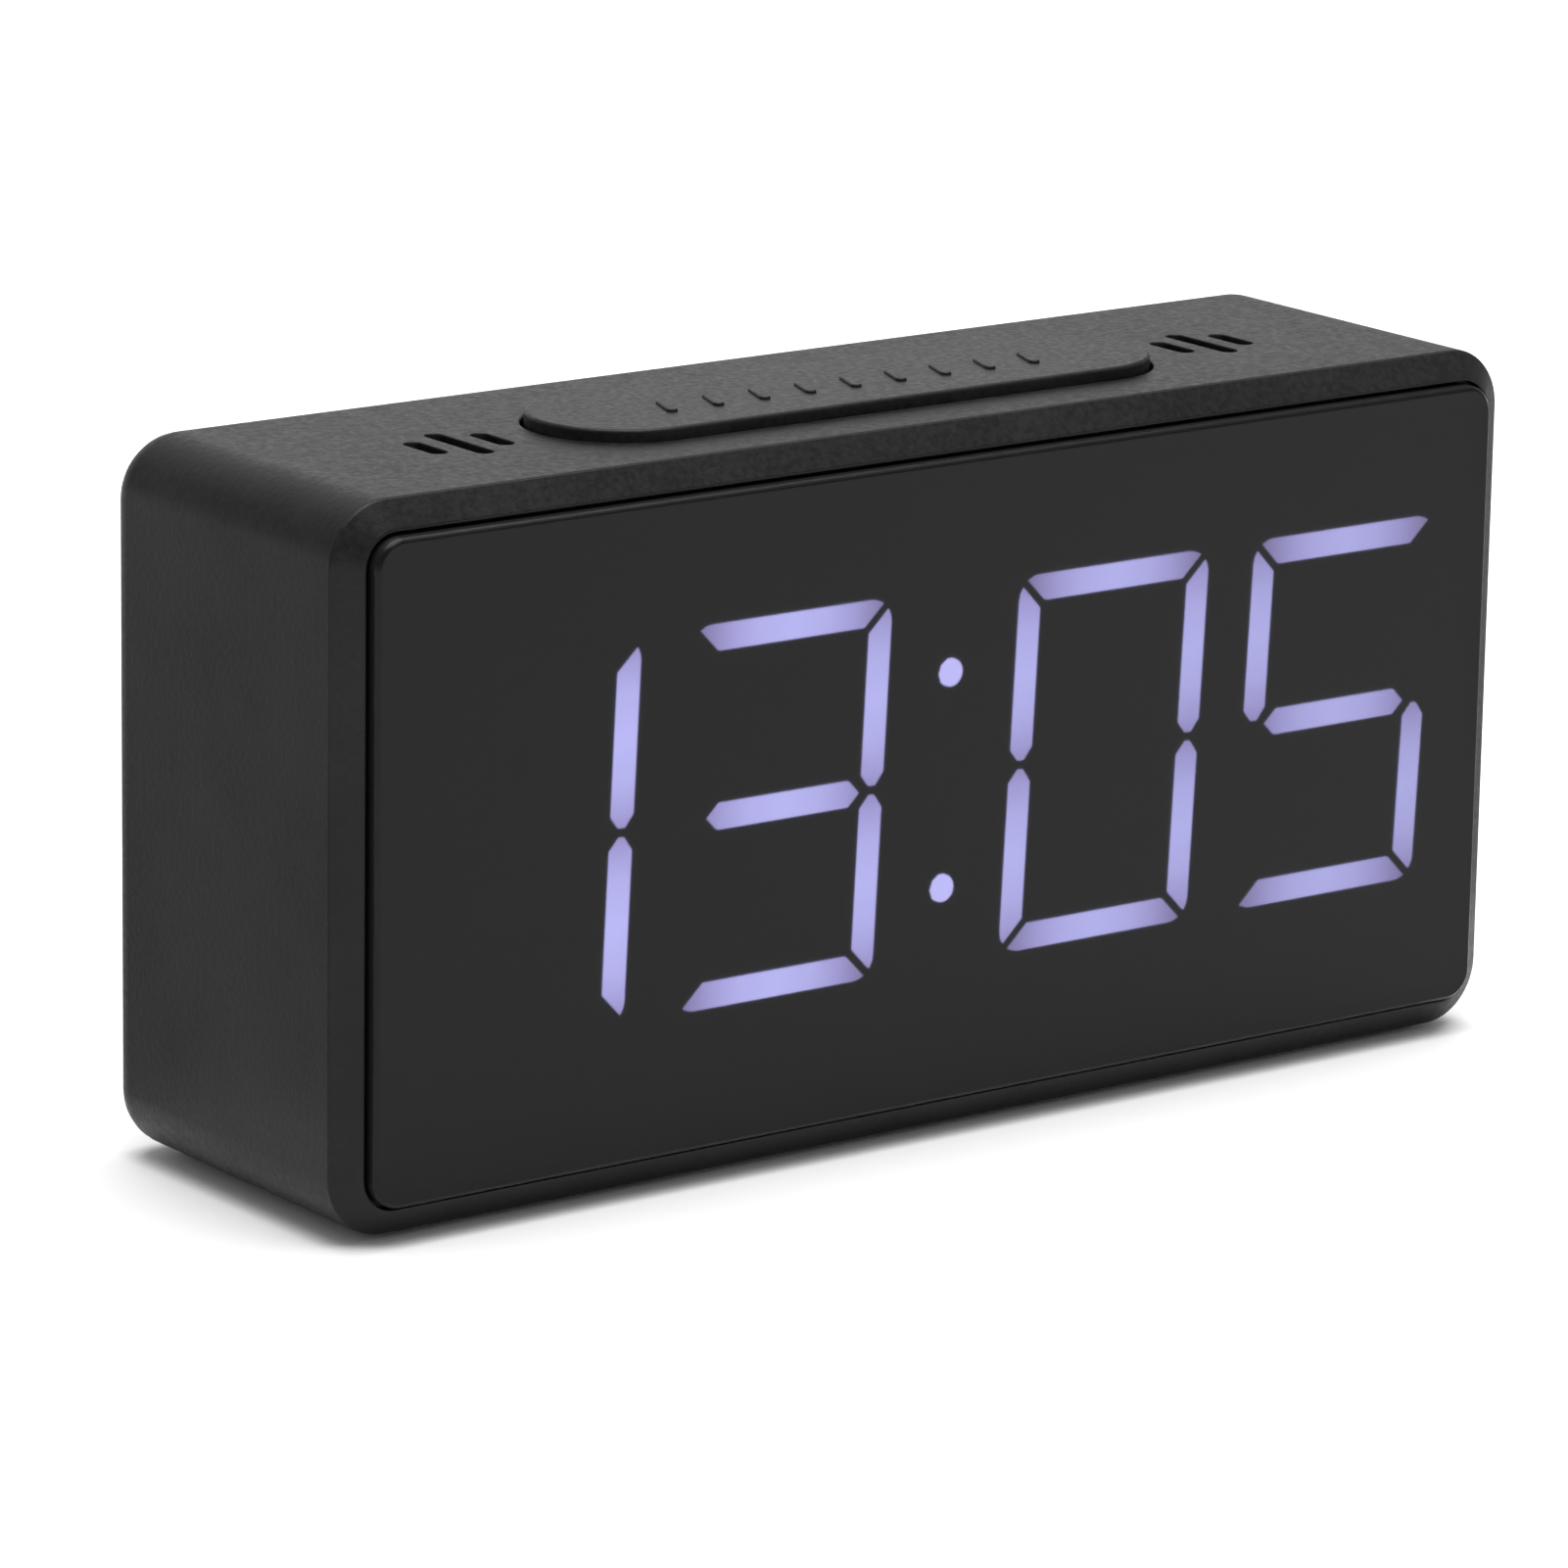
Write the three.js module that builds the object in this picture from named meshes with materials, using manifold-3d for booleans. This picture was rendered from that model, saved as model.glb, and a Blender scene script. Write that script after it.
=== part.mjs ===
// Digital alarm clock, in millimetres with +Z up.
// The origin lies on the table, under the middle of the clock. +X is the clock's right as one
// reads it, -Y is its front, with the display, and +Y its back, with the buttons and battery door.
// Inside the clock group, z is counted from the case's middle height.

import * as THREE from "three";
import { mergeVertices } from "three/addons/utils/BufferGeometryUtils.js";
import Module from "manifold-3d";

const wasm = await Module();
wasm.setup();

// Case
const CASE_WIDTH = 100;
const CASE_HEIGHT = 49.8;
const CASE_DEPTH = 28.4;
const CORNER_RADIUS = 4.4;
const CHAMFER_WIDTH = 1.82;
const CHAMFER_DEPTH = 1.31;
const BACK_FILLET = 2.67;
const WALL = 2.4;
const SMALLEST_RADIUS = 0.3;

// Front lens, its pocket and the tape that holds it
const POCKET_RIM = 0.15;
const LENS_GROOVE = 0.3;
const LENS_THICKNESS = 1.6;
const LENS_PROUD = 0.9;
const LENS_BEVEL = 0.3;
const TAPE_THICKNESS = 0.3;
const TAPE_WIDTH = 1.5;
const TAPE_SETBACK = 0.45;
const LEDGE_THICKNESS = 1.5;

// Display
const MASK_THICKNESS = 0.25;
const WEB_THICKNESS = 0.5;
const LIGHT_BOX_DEPTH = 6;
const LIGHT_BOX_MARGIN = 1;
const DISPLAY_LIFT = 0.1;
const SIDE_MARGIN = 4.48;
const TOP_MARGIN = 9.25;
const DIGIT_COUNT = 4;
const DIGIT_GAP = 4;
const COLON_GAP = 10.9;
const STROKE = 2;
const SEGMENT_GAP = 0.5;
const SEGMENT_CORNER = 1.75;
const TIP_FLAT = 0.5;
const SHOULDER = 0.9;
const MIDDLE_TIP_GAP = 0.95;
const SLANT = 0.045;
const DOT_RADIUS = 1.08;
const DOT_SPREAD = 15.2;
const DOT_DROP = 0.2;
const DOT_LEAN = 0.4;
const PAD_CLEARANCE = 0.1;
const WEB_CLEARANCE = 0.6;
const WEB_MARGIN = 0.5;

// Circuit boards and what they carry
const BOARD_THICKNESS = 1.6;
const BOARD_EDGE = 1.9;
const BOARD_SIDE_GAP = 1.7;
const LED_LENGTH = 1.6;
const LED_WIDTH = 0.8;
const LED_HEIGHT = 0.6;
const BLOCK_INSET = 14.6;
const BLOCK_WIDTH = 7;
const BLOCK_GAP = 0.5;
const BLOCK_SCREW_INSET = 2.2;
const CHIP_LENGTH = 17.9;
const CHIP_WIDTH = 7.5;
const CHIP_HEIGHT = 2.2;
const CHIP_LEADS = 9;
const CHIP_PITCH = 1.8;
const CHIP_LEAD_WIDTH = 0.6;
const CHIP_LEAD_REACH = 1.1;
const CHIP_LEAD_THICKNESS = 0.4;
const CHIP_SETOFF = 15;
const CRYSTAL_LENGTH = 10.5;
const CRYSTAL_WIDTH = 3.8;
const CRYSTAL_HEIGHT = 3.3;
const CAPACITOR_RADIUS = 2.5;
const CAPACITOR_HEIGHT = 5.4;
const CAPACITOR_GROOVE = 0.3;
const CAPACITOR_GROOVE_RISE = 1.35;
const CAPACITOR_GAP = 2.1;
const BUZZER_RADIUS = 6;
const BUZZER_HEIGHT = 5.5;
const BUZZER_HOLE = 1.2;
const BUZZER_CLEARANCE = 1.5;

// Snooze bar and its switch
const BAR_LENGTH = 50.8;
const BAR_WIDTH = 13;
const BAR_SETBACK = 12.75;
const BAR_PROUD = 0.8;
const BAR_TRAVEL = 0.8;
const BAR_EDGE = 0.25;
const BAR_CLEARANCE = 0.25;
const BAR_FLANGE_REACH = 1.2;
const BAR_FLANGE = 1.2;
const BAR_BOSS = 1.5;
const MARK_COUNT = 9;
const MARK_PITCH = 3.9;
const MARK_LENGTH = 3.4;
const MARK_WIDTH = 0.8;
const MARK_HEIGHT = 0.2;
const MARK_SETBACK = 0.85;
const MARK_LEAN = 0.35;
const SNOOZE_SWITCH_WIDTH = 7;
const SNOOZE_SWITCH_DEPTH = 3.2;
const SNOOZE_SWITCH_HEIGHT = 4.5;
const SNOOZE_PLUNGER_RADIUS = 0.9;
const PLUNGER_SINK = 1;

// Slots in the top
const SLOT_X = 32.05;
const SLOT_PITCH = 2.7;
const SLOT_WIDTH = 1.3;
const SLOT_LONG = 7.25;
const SLOT_SHORT = 4.25;

// Pillars, rear cover and screws
const PILLAR_RADIUS = 3.3;
const PILLAR_SINK = 0.6;
const COVER_THICKNESS = 2;
const COVER_GAP = 0.2;
const COVER_EDGE = 0.3;
const COVER_SCREW = { head: 2.3, headHeight: 1, bevel: 0.5, shank: 1.15, length: 9 };
const BOARD_SCREW = { head: 1.9, headHeight: 1.3, bevel: 0.65, shank: 0.9, length: 5.2 };
const HEAD_CLEARANCE = 0.35;
const HEAD_SINK = 0.1;
const BORE_CLEARANCE = 0.3;
const RECESS_WIDTH = 0.5;
const RECESS_SPAN = 1.1;
const RECESS_DEPTH = 0.6;

// Batteries and their contacts
const BATTERY_COUNT = 3;
const BATTERY_DIAMETER = 10.5;
const BATTERY_LENGTH = 44.5;
const BATTERY_NUB_RADIUS = 1.9;
const BATTERY_NUB = 0.8;
const BATTERY_EDGE = 0.5;
const BATTERY_SPACING = 0.2;
const BATTERY_FLOOR_GAP = 0.3;
const BATTERY_DOOR_GAP = 0.4;
const CONTACT_THICKNESS = 0.4;
const CONTACT_HALF = 4.2;
const CONTACT_GAP = 0.1;
const DIMPLE_RADIUS = 1.6;
const DIMPLE_HEIGHT = 0.9;
const SPRING_LENGTH = 4;
const SPRING_WIRE = 0.5;
const SPRING_TURNS = 3;
const SPRING_BASE_RADIUS = 3.2;
const SPRING_TIP_RADIUS = 1.7;
const SPRING_SINK = 0.08;
const TAB_REACH = 1.4;
const TAB_WIDTH = 2.4;
const TAB_DROP = 1.8;
const LEAD_RADIUS = 0.45;
const LEAD_BEND = 1.4;
const LEAD_SPAN = 5.6;
const LEAD_END_SETBACK = 4.2;

// Battery tub and door
const TUB_INSET = 7.6;
const TUB_WALL = 1.6;
const TUB_FLOOR = 1.4;
const TUB_LEDGE = 0.9;
const DOOR_THICKNESS = 1.8;
const DOOR_GAP = 0.2;
const LUG_WIDTH = 6;
const LUG_INSET = 9;
const LUG_REACH = 1.5;
const LUG_THICKNESS = 1.1;
const LUG_ROOT = 1.2;
const RIB_COUNT = 3;
const RIB_LENGTH = 14;
const RIB_WIDTH = 0.8;
const RIB_PITCH = 1.8;
const RIB_HEIGHT = 0.4;
const SCOOP_LENGTH = 16;
const SCOOP_REACH = 2.4;
const SCOOP_DEPTH = 1;

// Buttons at the back, their board and the power inlet
const BUTTON_NAMES = ["mode", "alarm", "up", "down"];
const BUTTON_PITCH = 8;
const BUTTON_RADIUS = 2.8;
const BUTTON_PROUD = 0.7;
const BUTTON_EDGE = 0.3;
const BUTTON_FLANGE_RADIUS = 3.5;
const BUTTON_FLANGE = 1.1;
const BUTTON_CLEARANCE = 0.3;
const BUTTON_TRAVEL = 0.5;
const BUTTON_BOARD_SETBACK = 5.1;
const BUTTON_BOARD_HALF = 15.6;
const SWITCH_SIZE = 6;
const SWITCH_HEIGHT = 2.9;
const SWITCH_PLUNGER_RADIUS = 1.6;
const SWITCH_SINK = 0.8;
const BOSS_HALF_SPREAD = 12.4;
const BOSS_RADIUS = 2.6;
const BOSS_FLOOR = 1;
const USB_INSET = 8.7;
const USB_DROP = 8;
const USB_WIDTH = 7.5;
const USB_HEIGHT = 2.8;
const USB_WALL = 0.35;
const USB_CORNER = 0.93;
const USB_DEPTH = 5;
const USB_SETBACK = 0.4;
const USB_TONGUE_WIDTH = 4.4;
const USB_TONGUE = 0.6;
const RIBBON_WIDTH = 8;
const RIBBON_THICKNESS = 0.5;
const RIBBON_SAG = 3;
const RIBBON_DROP = 10.5;
const RIBBON_STEPS = 8;

// Shares of the free room beside the tub, left of the buttons and between them and the bosses
const COLUMN_SHARE = 0.63;
const BOSS_SHARE = 0.265;

// Feet
const FOOT_RADIUS = 4;
const FOOT_HEIGHT = 1;
const FOOT_PROUD = 0.5;
const FOOT_INSET = 12;
const FOOT_FRONT_SETBACK = 6.5;
const FOOT_BACK_SETBACK = 7.2;

// Clearances and fineness shared by many pieces
const RUNNING_GAP = 0.1;
const SEAT_GAP = 0.3;
const OVERSHOOT = 1;
const SINK = 0.05;
const END_FLAT = 0.01;
const CORNER_STEPS = 5;
const FILLET_STEPS = 4;
const STADIUM_STEPS = 7;
const SMALL_STEPS = 3;
const BEVEL_STEPS = 1;
const RIM_STEPS = 2;
const MARK_STEPS = 2;
const ROUND_SIDES = 20;
const SMALL_SIDES = 10;
const WIRE_SIDES = 5;
const LEAD_STEPS = 3;
const MEASURE_STEPS = 4;
const WELD = 1e-4;

// Places worked out from the sizes above, from the front to the back
const lensFront = -(LENS_PROUD + CASE_DEPTH + BUTTON_PROUD) / 2;
const front = lensFront + LENS_PROUD;
const back = front + CASE_DEPTH;
const halfWidth = CASE_WIDTH / 2;
const halfHeight = CASE_HEIGHT / 2;
const cavityX = halfWidth - WALL;
const cavityZ = halfHeight - WALL;
const pocketInset = CHAMFER_WIDTH + POCKET_RIM;
const lensInset = pocketInset + LENS_GROOVE;
const tapeInset = lensInset + TAPE_SETBACK;
const ledgeInset = tapeInset + TAPE_WIDTH;
const maskInset = ledgeInset + SEAT_GAP;
const lensBack = lensFront + LENS_THICKNESS;
const ledgeFront = lensBack + TAPE_THICKNESS;
const ledgeBack = ledgeFront + LEDGE_THICKNESS;
const maskBack = lensBack + MASK_THICKNESS;
const diffuserBack = maskBack + WEB_THICKNESS;
const boardFront = diffuserBack + LIGHT_BOX_DEPTH;
const boardBack = boardFront + BOARD_THICKNESS;
const coverFront = back - COVER_THICKNESS;

// The digits fill the lens between its margins
const digitsHalf = halfWidth - lensInset - SIDE_MARGIN;
const digitHalfHeight = halfHeight - lensInset - TOP_MARGIN;
const digitHalf = (2 * digitsHalf - 2 * DIGIT_GAP - COLON_GAP) / DIGIT_COUNT / 2;
const digitPitch = 2 * digitHalf + DIGIT_GAP;
const innerDigit = COLON_GAP / 2 + digitHalf;
const digitPlaces = [-innerDigit - digitPitch, -innerDigit, innerDigit, innerDigit + digitPitch];
const lightBoxHalf = digitsHalf + SLANT * digitHalfHeight + LIGHT_BOX_MARGIN;
const lightBoxHalfHeight = digitHalfHeight + LIGHT_BOX_MARGIN;
const webHalfHeight = digitHalfHeight + WEB_MARGIN;

// Board supports and pillars
const blockStart = DISPLAY_LIFT + lightBoxHalfHeight + BLOCK_GAP;
const boardScrewZ = blockStart + BLOCK_SCREW_INSET;
const boardHalfHeight = boardScrewZ + BOARD_EDGE;
const boardHalf = cavityX - BOARD_SIDE_GAP;
const blockX = cavityX - BLOCK_INSET;
const pillarInset = WALL + PILLAR_RADIUS - PILLAR_SINK;
const pillarX = halfWidth - pillarInset;
const pillarZ = halfHeight - pillarInset;

// Snooze bar, from the top of the case down
const barY = front + BAR_SETBACK;
const barTop = halfHeight + BAR_PROUD;
const flangeTop = cavityZ - RUNNING_GAP;
const flangeBottom = flangeTop - BAR_FLANGE;
const bossBottom = flangeBottom - BAR_BOSS;
const snoozeSwitchTop = bossBottom - BAR_TRAVEL - SEAT_GAP;
const snoozeSwitchY = boardBack + SNOOZE_SWITCH_DEPTH / 2;

// Batteries and the tub that holds them
const batteryRadius = BATTERY_DIAMETER / 2;
const batteryPitch = BATTERY_DIAMETER + BATTERY_SPACING;
const tubHalfHeight = (BATTERY_COUNT * batteryPitch) / 2;
const batteryY = coverFront - BATTERY_DOOR_GAP - batteryRadius;
const tubFloor = batteryY - batteryRadius - BATTERY_FLOOR_GAP;
const tubLeft = -cavityX + TUB_INSET;
const coilRoom = CONTACT_THICKNESS + SPRING_LENGTH + CONTACT_GAP;
const dimpleRoom = CONTACT_THICKNESS + DIMPLE_HEIGHT + CONTACT_GAP;
const tubRight = tubLeft + coilRoom + BATTERY_LENGTH + dimpleRoom;
const tubMiddle = (tubLeft + tubRight) / 2;
const tubHalf = (tubRight - tubLeft) / 2;
const doorHalf = tubHalf + TUB_LEDGE - DOOR_GAP;
const doorHalfHeight = tubHalfHeight + TUB_LEDGE - DOOR_GAP;
const doorFront = back - DOOR_THICKNESS;

// Button board, buttons and inlet
const buttonBoardBack = coverFront - BUTTON_BOARD_SETBACK;
const buttonBoardFront = buttonBoardBack - BOARD_THICKNESS;
const tubSide = tubRight + TUB_WALL;
const usbX = cavityX - USB_INSET;
const freeRoom = usbX - USB_WIDTH / 2 - tubSide - 2 * BUTTON_FLANGE_RADIUS - 2 * BOSS_RADIUS;
const columnX = tubSide + COLUMN_SHARE * freeRoom + BUTTON_FLANGE_RADIUS;
const bossX = columnX + BUTTON_FLANGE_RADIUS + BOSS_SHARE * freeRoom + BOSS_RADIUS;
const buzzerX = columnX + CAPACITOR_RADIUS + CAPACITOR_GAP + BUZZER_RADIUS;
const buttonFlangeTop = coverFront - COVER_GAP;
const buttonFlangeBottom = buttonFlangeTop - BUTTON_FLANGE;
const usbBack = back - USB_SETBACK;

// Feet
const footX = halfWidth - FOOT_INSET;
const tableTop = -halfHeight - FOOT_PROUD;

// Turns a geometry into one welded skin with its faces pointing out
function cleaned(geometry) {
  const bare = geometry.clone();
  bare.deleteAttribute("normal");
  bare.deleteAttribute("uv");
  const welded = mergeVertices(bare, WELD);
  const old = welded.index.array;
  const kept = [];
  for (let i = 0; i < old.length; i += 3) {
    const [a, b, c] = [old[i], old[i + 1], old[i + 2]];
    if (a !== b && b !== c && c !== a) kept.push(a, b, c);
  }
  welded.setIndex(kept);
  if (signedVolume(welded) < 0) {
    for (let i = 0; i < kept.length; i += 3) [kept[i + 1], kept[i + 2]] = [kept[i + 2], kept[i + 1]];
    welded.setIndex(kept);
  }
  return welded;
}

function signedVolume(geometry) {
  const place = geometry.attributes.position;
  const index = geometry.index.array;
  const [a, b, c] = [new THREE.Vector3(), new THREE.Vector3(), new THREE.Vector3()];
  let sum = 0;
  for (let i = 0; i < index.length; i += 3) {
    a.fromBufferAttribute(place, index[i]);
    b.fromBufferAttribute(place, index[i + 1]);
    c.fromBufferAttribute(place, index[i + 2]);
    sum += a.dot(b.cross(c)) / 6;
  }
  return sum;
}

// A closed skin through rings that have as many points each
function loft(rings) {
  const count = rings[0].length;
  const last = (rings.length - 1) * count;
  const faces = [];
  for (let start = 0; start < last; start += count) {
    for (let i = 0; i < count; i += 1) {
      const a = start + i;
      const b = start + ((i + 1) % count);
      faces.push(a, b, b + count, a, b + count, a + count);
    }
  }
  for (let i = 1; i + 1 < count; i += 1) {
    faces.push(0, i + 1, i, last, last + i, last + i + 1);
  }
  const geometry = new THREE.BufferGeometry();
  geometry.setAttribute("position", new THREE.Float32BufferAttribute(rings.flat(2), 3));
  geometry.setIndex(faces);
  return geometry;
}

// Points round a rectangle with round corners, which has round ends where the radius is half its side
function roundedOutline(width, height, radius, steps) {
  const r = Math.min(radius, width / 2 - END_FLAT, height / 2 - END_FLAT);
  const points = [];
  [[1, 1], [-1, 1], [-1, -1], [1, -1]].forEach(([right, up], quarter) => {
    for (let i = 0; i <= steps; i += 1) {
      const angle = ((quarter + i / steps) * Math.PI) / 2;
      points.push([
        right * (width / 2 - r) + r * Math.cos(angle),
        up * (height / 2 - r) + r * Math.sin(angle),
      ]);
    }
  });
  return points;
}

// Points round a regular polygon
function regularOutline([x, y], radius, count) {
  const points = [];
  for (let i = 0; i < count; i += 1) {
    const angle = (i * 2 * Math.PI) / count;
    points.push([x + radius * Math.cos(angle), y + radius * Math.sin(angle)]);
  }
  return points;
}

// A slab with round corners, through levels of [place along its axis, width, height, radius]
function slabAlongY(levels, x, z, steps) {
  return loft(levels.map(([y, width, height, radius]) =>
    roundedOutline(width, height, radius, steps).map(([u, v]) => [x + u, y, z + v])));
}

function slabAlongZ(levels, x, y, steps) {
  return loft(levels.map(([z, width, depth, radius]) =>
    roundedOutline(width, depth, radius, steps).map(([u, v]) => [x + u, y + v, z])));
}

// A level of the case's own outline, drawn in by an inset
function caseLevel(y, inset) {
  const radius = Math.max(CORNER_RADIUS - inset, SMALLEST_RADIUS);
  return [y, CASE_WIDTH - 2 * inset, CASE_HEIGHT - 2 * inset, radius];
}

function caseSlab(levels) {
  return slabAlongY(levels.map(([y, inset]) => caseLevel(y, inset)), 0, 0, CORNER_STEPS);
}

function shapeOf(points) {
  return new THREE.Shape(points.map(([u, v]) => new THREE.Vector2(u, v)));
}

// A straight prism whose outline lies in the X and Z directions
function prismAlongY(shape, from, to) {
  const geometry = new THREE.ExtrudeGeometry(shape, { depth: to - from, bevelEnabled: false });
  return geometry.rotateX(Math.PI / 2).translate(0, to, 0);
}

// A straight prism whose outline lies in the Y and Z directions
function prismAlongX(shape, from, to) {
  const geometry = new THREE.ExtrudeGeometry(shape, { depth: to - from, bevelEnabled: false });
  const turn = new THREE.Matrix4().makeBasis(
    new THREE.Vector3(0, 1, 0), new THREE.Vector3(0, 0, 1), new THREE.Vector3(1, 0, 0));
  return geometry.applyMatrix4(turn).translate(from, 0, 0);
}

function block([x0, x1], [y0, y1], [z0, z1]) {
  return new THREE.BoxGeometry(x1 - x0, y1 - y0, z1 - z0)
    .translate((x0 + x1) / 2, (y0 + y1) / 2, (z0 + z1) / 2);
}

// A turned shape on the Y axis, through points of [radius, place along the axis]
function turned(profile, sides) {
  return new THREE.LatheGeometry(profile.map(([r, t]) => new THREE.Vector2(r, t)), sides);
}

function rodAlongY(radius, from, to, sides) {
  return turned([[0, from], [radius, from], [radius, to], [0, to]], sides);
}

function rodAlongZ(radius, from, to, sides) {
  return rodAlongY(radius, from, to, sides).rotateX(Math.PI / 2);
}

function solid(geometry) {
  const skin = cleaned(geometry);
  return new wasm.Manifold(new wasm.Mesh({
    numProp: 3,
    vertProperties: new Float32Array(skin.attributes.position.array),
    triVerts: new Uint32Array(skin.index.array),
  }));
}

function joined(...pieces) {
  return pieces.reduce((whole, piece) => whole.add(piece));
}

function cut(base, ...tools) {
  return tools.reduce((rest, tool) => rest.subtract(tool), base);
}

function geometryOf(body) {
  const mesh = body.getMesh();
  const geometry = new THREE.BufferGeometry();
  geometry.setAttribute("position", new THREE.Float32BufferAttribute(mesh.vertProperties, 3));
  geometry.setIndex(Array.from(mesh.triVerts));
  return geometry;
}

// Adds one named piece to a group
function addPart(group, name, geometry, [color, roughness, metalness], [x, y, z] = [0, 0, 0]) {
  const material = new THREE.MeshStandardMaterial({ color, roughness, metalness, flatShading: true });
  const mesh = new THREE.Mesh(cleaned(geometry), material);
  mesh.name = name;
  mesh.position.set(x, y, z);
  group.add(mesh);
  return mesh;
}

// Colour, roughness and metalness of each finish
const BLACK_SHELL = ["#37373a", 0.62, 0];
const BLACK_COVER = ["#303032", 0.6, 0];
const SMOKED_ACRYLIC = ["#2a2a2c", 0.12, 0];
const BLACK_FILM = ["#0c0c0e", 0.5, 0];
const BLACK_TAPE = ["#141416", 0.8, 0];
const MILKY_DIFFUSER = ["#b8b0e8", 0.4, 0];
const WHITE_REFLECTOR = ["#e8e8e4", 0.5, 0];
const GREEN_BOARD = ["#1f5a36", 0.5, 0];
const CHIP_BLACK = ["#1a1a1c", 0.5, 0];
const BRIGHT_STEEL = ["#b9bcc0", 0.3, 1];
const NICKEL_STRIP = ["#c6c3ba", 0.35, 1];
const CAN_ALUMINIUM = ["#c9ccd0", 0.35, 1];
const BLACK_RUBBER = ["#202020", 0.9, 0];
const BATTERY_SLEEVE = ["#3c5a78", 0.4, 0.2];
const SWITCH_BLACK = ["#222224", 0.5, 0];
const PLUNGER_IVORY = ["#d8d2c0", 0.5, 0];
const RIBBON_GREY = ["#9a9ca0", 0.6, 0];
const RED_WIRE = ["#a02020", 0.5, 0];
const BLACK_WIRE = ["#1c1c1c", 0.5, 0];

const sides = [-1, 1];
const cornerSigns = [[-1, -1], [1, -1], [-1, 1], [1, 1]];

// Segments of a digit, drawn upright round 0, 0 and shrunk on each side by a clearance
function segmentCorner(clear) {
  const mitre = (SEGMENT_GAP / 2 + clear) * Math.SQRT2;
  const radius = SEGMENT_CORNER - clear;
  const first = Math.PI / 4 + Math.asin(mitre / (Math.SQRT2 * radius));
  const at = (angle) => [
    digitHalf - SEGMENT_CORNER + radius * Math.cos(angle),
    digitHalfHeight - SEGMENT_CORNER + radius * Math.sin(angle),
  ];
  return { mitre, first, at };
}

function topSegment(clear) {
  const { mitre, first, at } = segmentCorner(clear);
  const low = digitHalfHeight - STROKE + clear;
  const inner = digitHalf - STROKE + clear - mitre;
  const right = [at(first), at((first + Math.PI / 2) / 2), at(Math.PI / 2)];
  const left = right.map(([u, v]) => [-u, v]).reverse();
  return [[-inner, low], [inner, low], ...right, ...left];
}

function upperRightSegment(clear) {
  const { mitre, first, at } = segmentCorner(clear);
  const low = SEGMENT_GAP / 2 + clear;
  const outer = digitHalf - clear;
  const inner = digitHalf - STROKE + clear;
  const middle = digitHalf - STROKE / 2;
  const last = Math.PI / 2 - first;
  return [
    at(last), at(last / 2), at(0),
    [outer, low + SHOULDER],
    [middle + TIP_FLAT / 2, low],
    [middle - TIP_FLAT / 2, low],
    [inner, low + SHOULDER],
    [inner, digitHalfHeight - STROKE + clear - mitre],
  ];
}

function middleSegment(clear) {
  const tip = digitHalf - STROKE / 2 - MIDDLE_TIP_GAP - clear * Math.SQRT2;
  const half = STROKE / 2 - clear;
  return [
    [tip, 0], [tip - half, half], [half - tip, half],
    [-tip, 0], [half - tip, -half], [tip - half, -half],
  ];
}

// All seven segments: outline, middle, and whether each stands upright
function segments(clear) {
  const flip = (points, right, up) => points.map(([u, v]) => [right * u, up * v]);
  const side = digitHalf - STROKE / 2;
  const bar = digitHalfHeight - STROKE / 2;
  const list = [{ points: middleSegment(clear), middle: [0, 0], upright: false }];
  for (const up of sides) {
    list.push({ points: flip(topSegment(clear), 1, up), middle: [0, up * bar], upright: false });
    for (const right of sides) {
      list.push({
        points: flip(upperRightSegment(clear), right, up),
        middle: [right * side, (up * digitHalfHeight) / 2],
        upright: true,
      });
    }
  }
  return list;
}

// Leans a point of a digit and moves it to the digit's place on the clock
function onDisplay([u, v], place) {
  return [place + u + v * SLANT, DISPLAY_LIFT + v];
}

function dotPlaces() {
  return sides.map((up) => [
    (up * DOT_LEAN) / 2,
    DISPLAY_LIFT - DOT_DROP + (up * DOT_SPREAD) / 2,
  ]);
}

function dotOutline(place, clear) {
  return regularOutline(place, DOT_RADIUS - clear, SMALL_SIDES);
}

// Every window of the display, as outlines on the clock's front
function displayWindows() {
  const windows = digitPlaces.flatMap((place) =>
    segments(0).map(({ points }) => points.map((point) => onDisplay(point, place))));
  return [...windows, ...dotPlaces().map((place) => dotOutline(place, 0))];
}

function withWindows(points) {
  const shape = shapeOf(points);
  shape.holes = displayWindows().map(shapeOf);
  return shape;
}

// Levels that round off the rim of a face: [place along the axis, inset]
function rimLevels(face, radius, steps) {
  const levels = [];
  for (let i = 0; i <= steps; i += 1) {
    const angle = ((i / steps) * Math.PI) / 2;
    levels.push([face - radius * (1 - Math.sin(angle)), radius * (1 - Math.cos(angle))]);
  }
  return levels;
}

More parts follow.
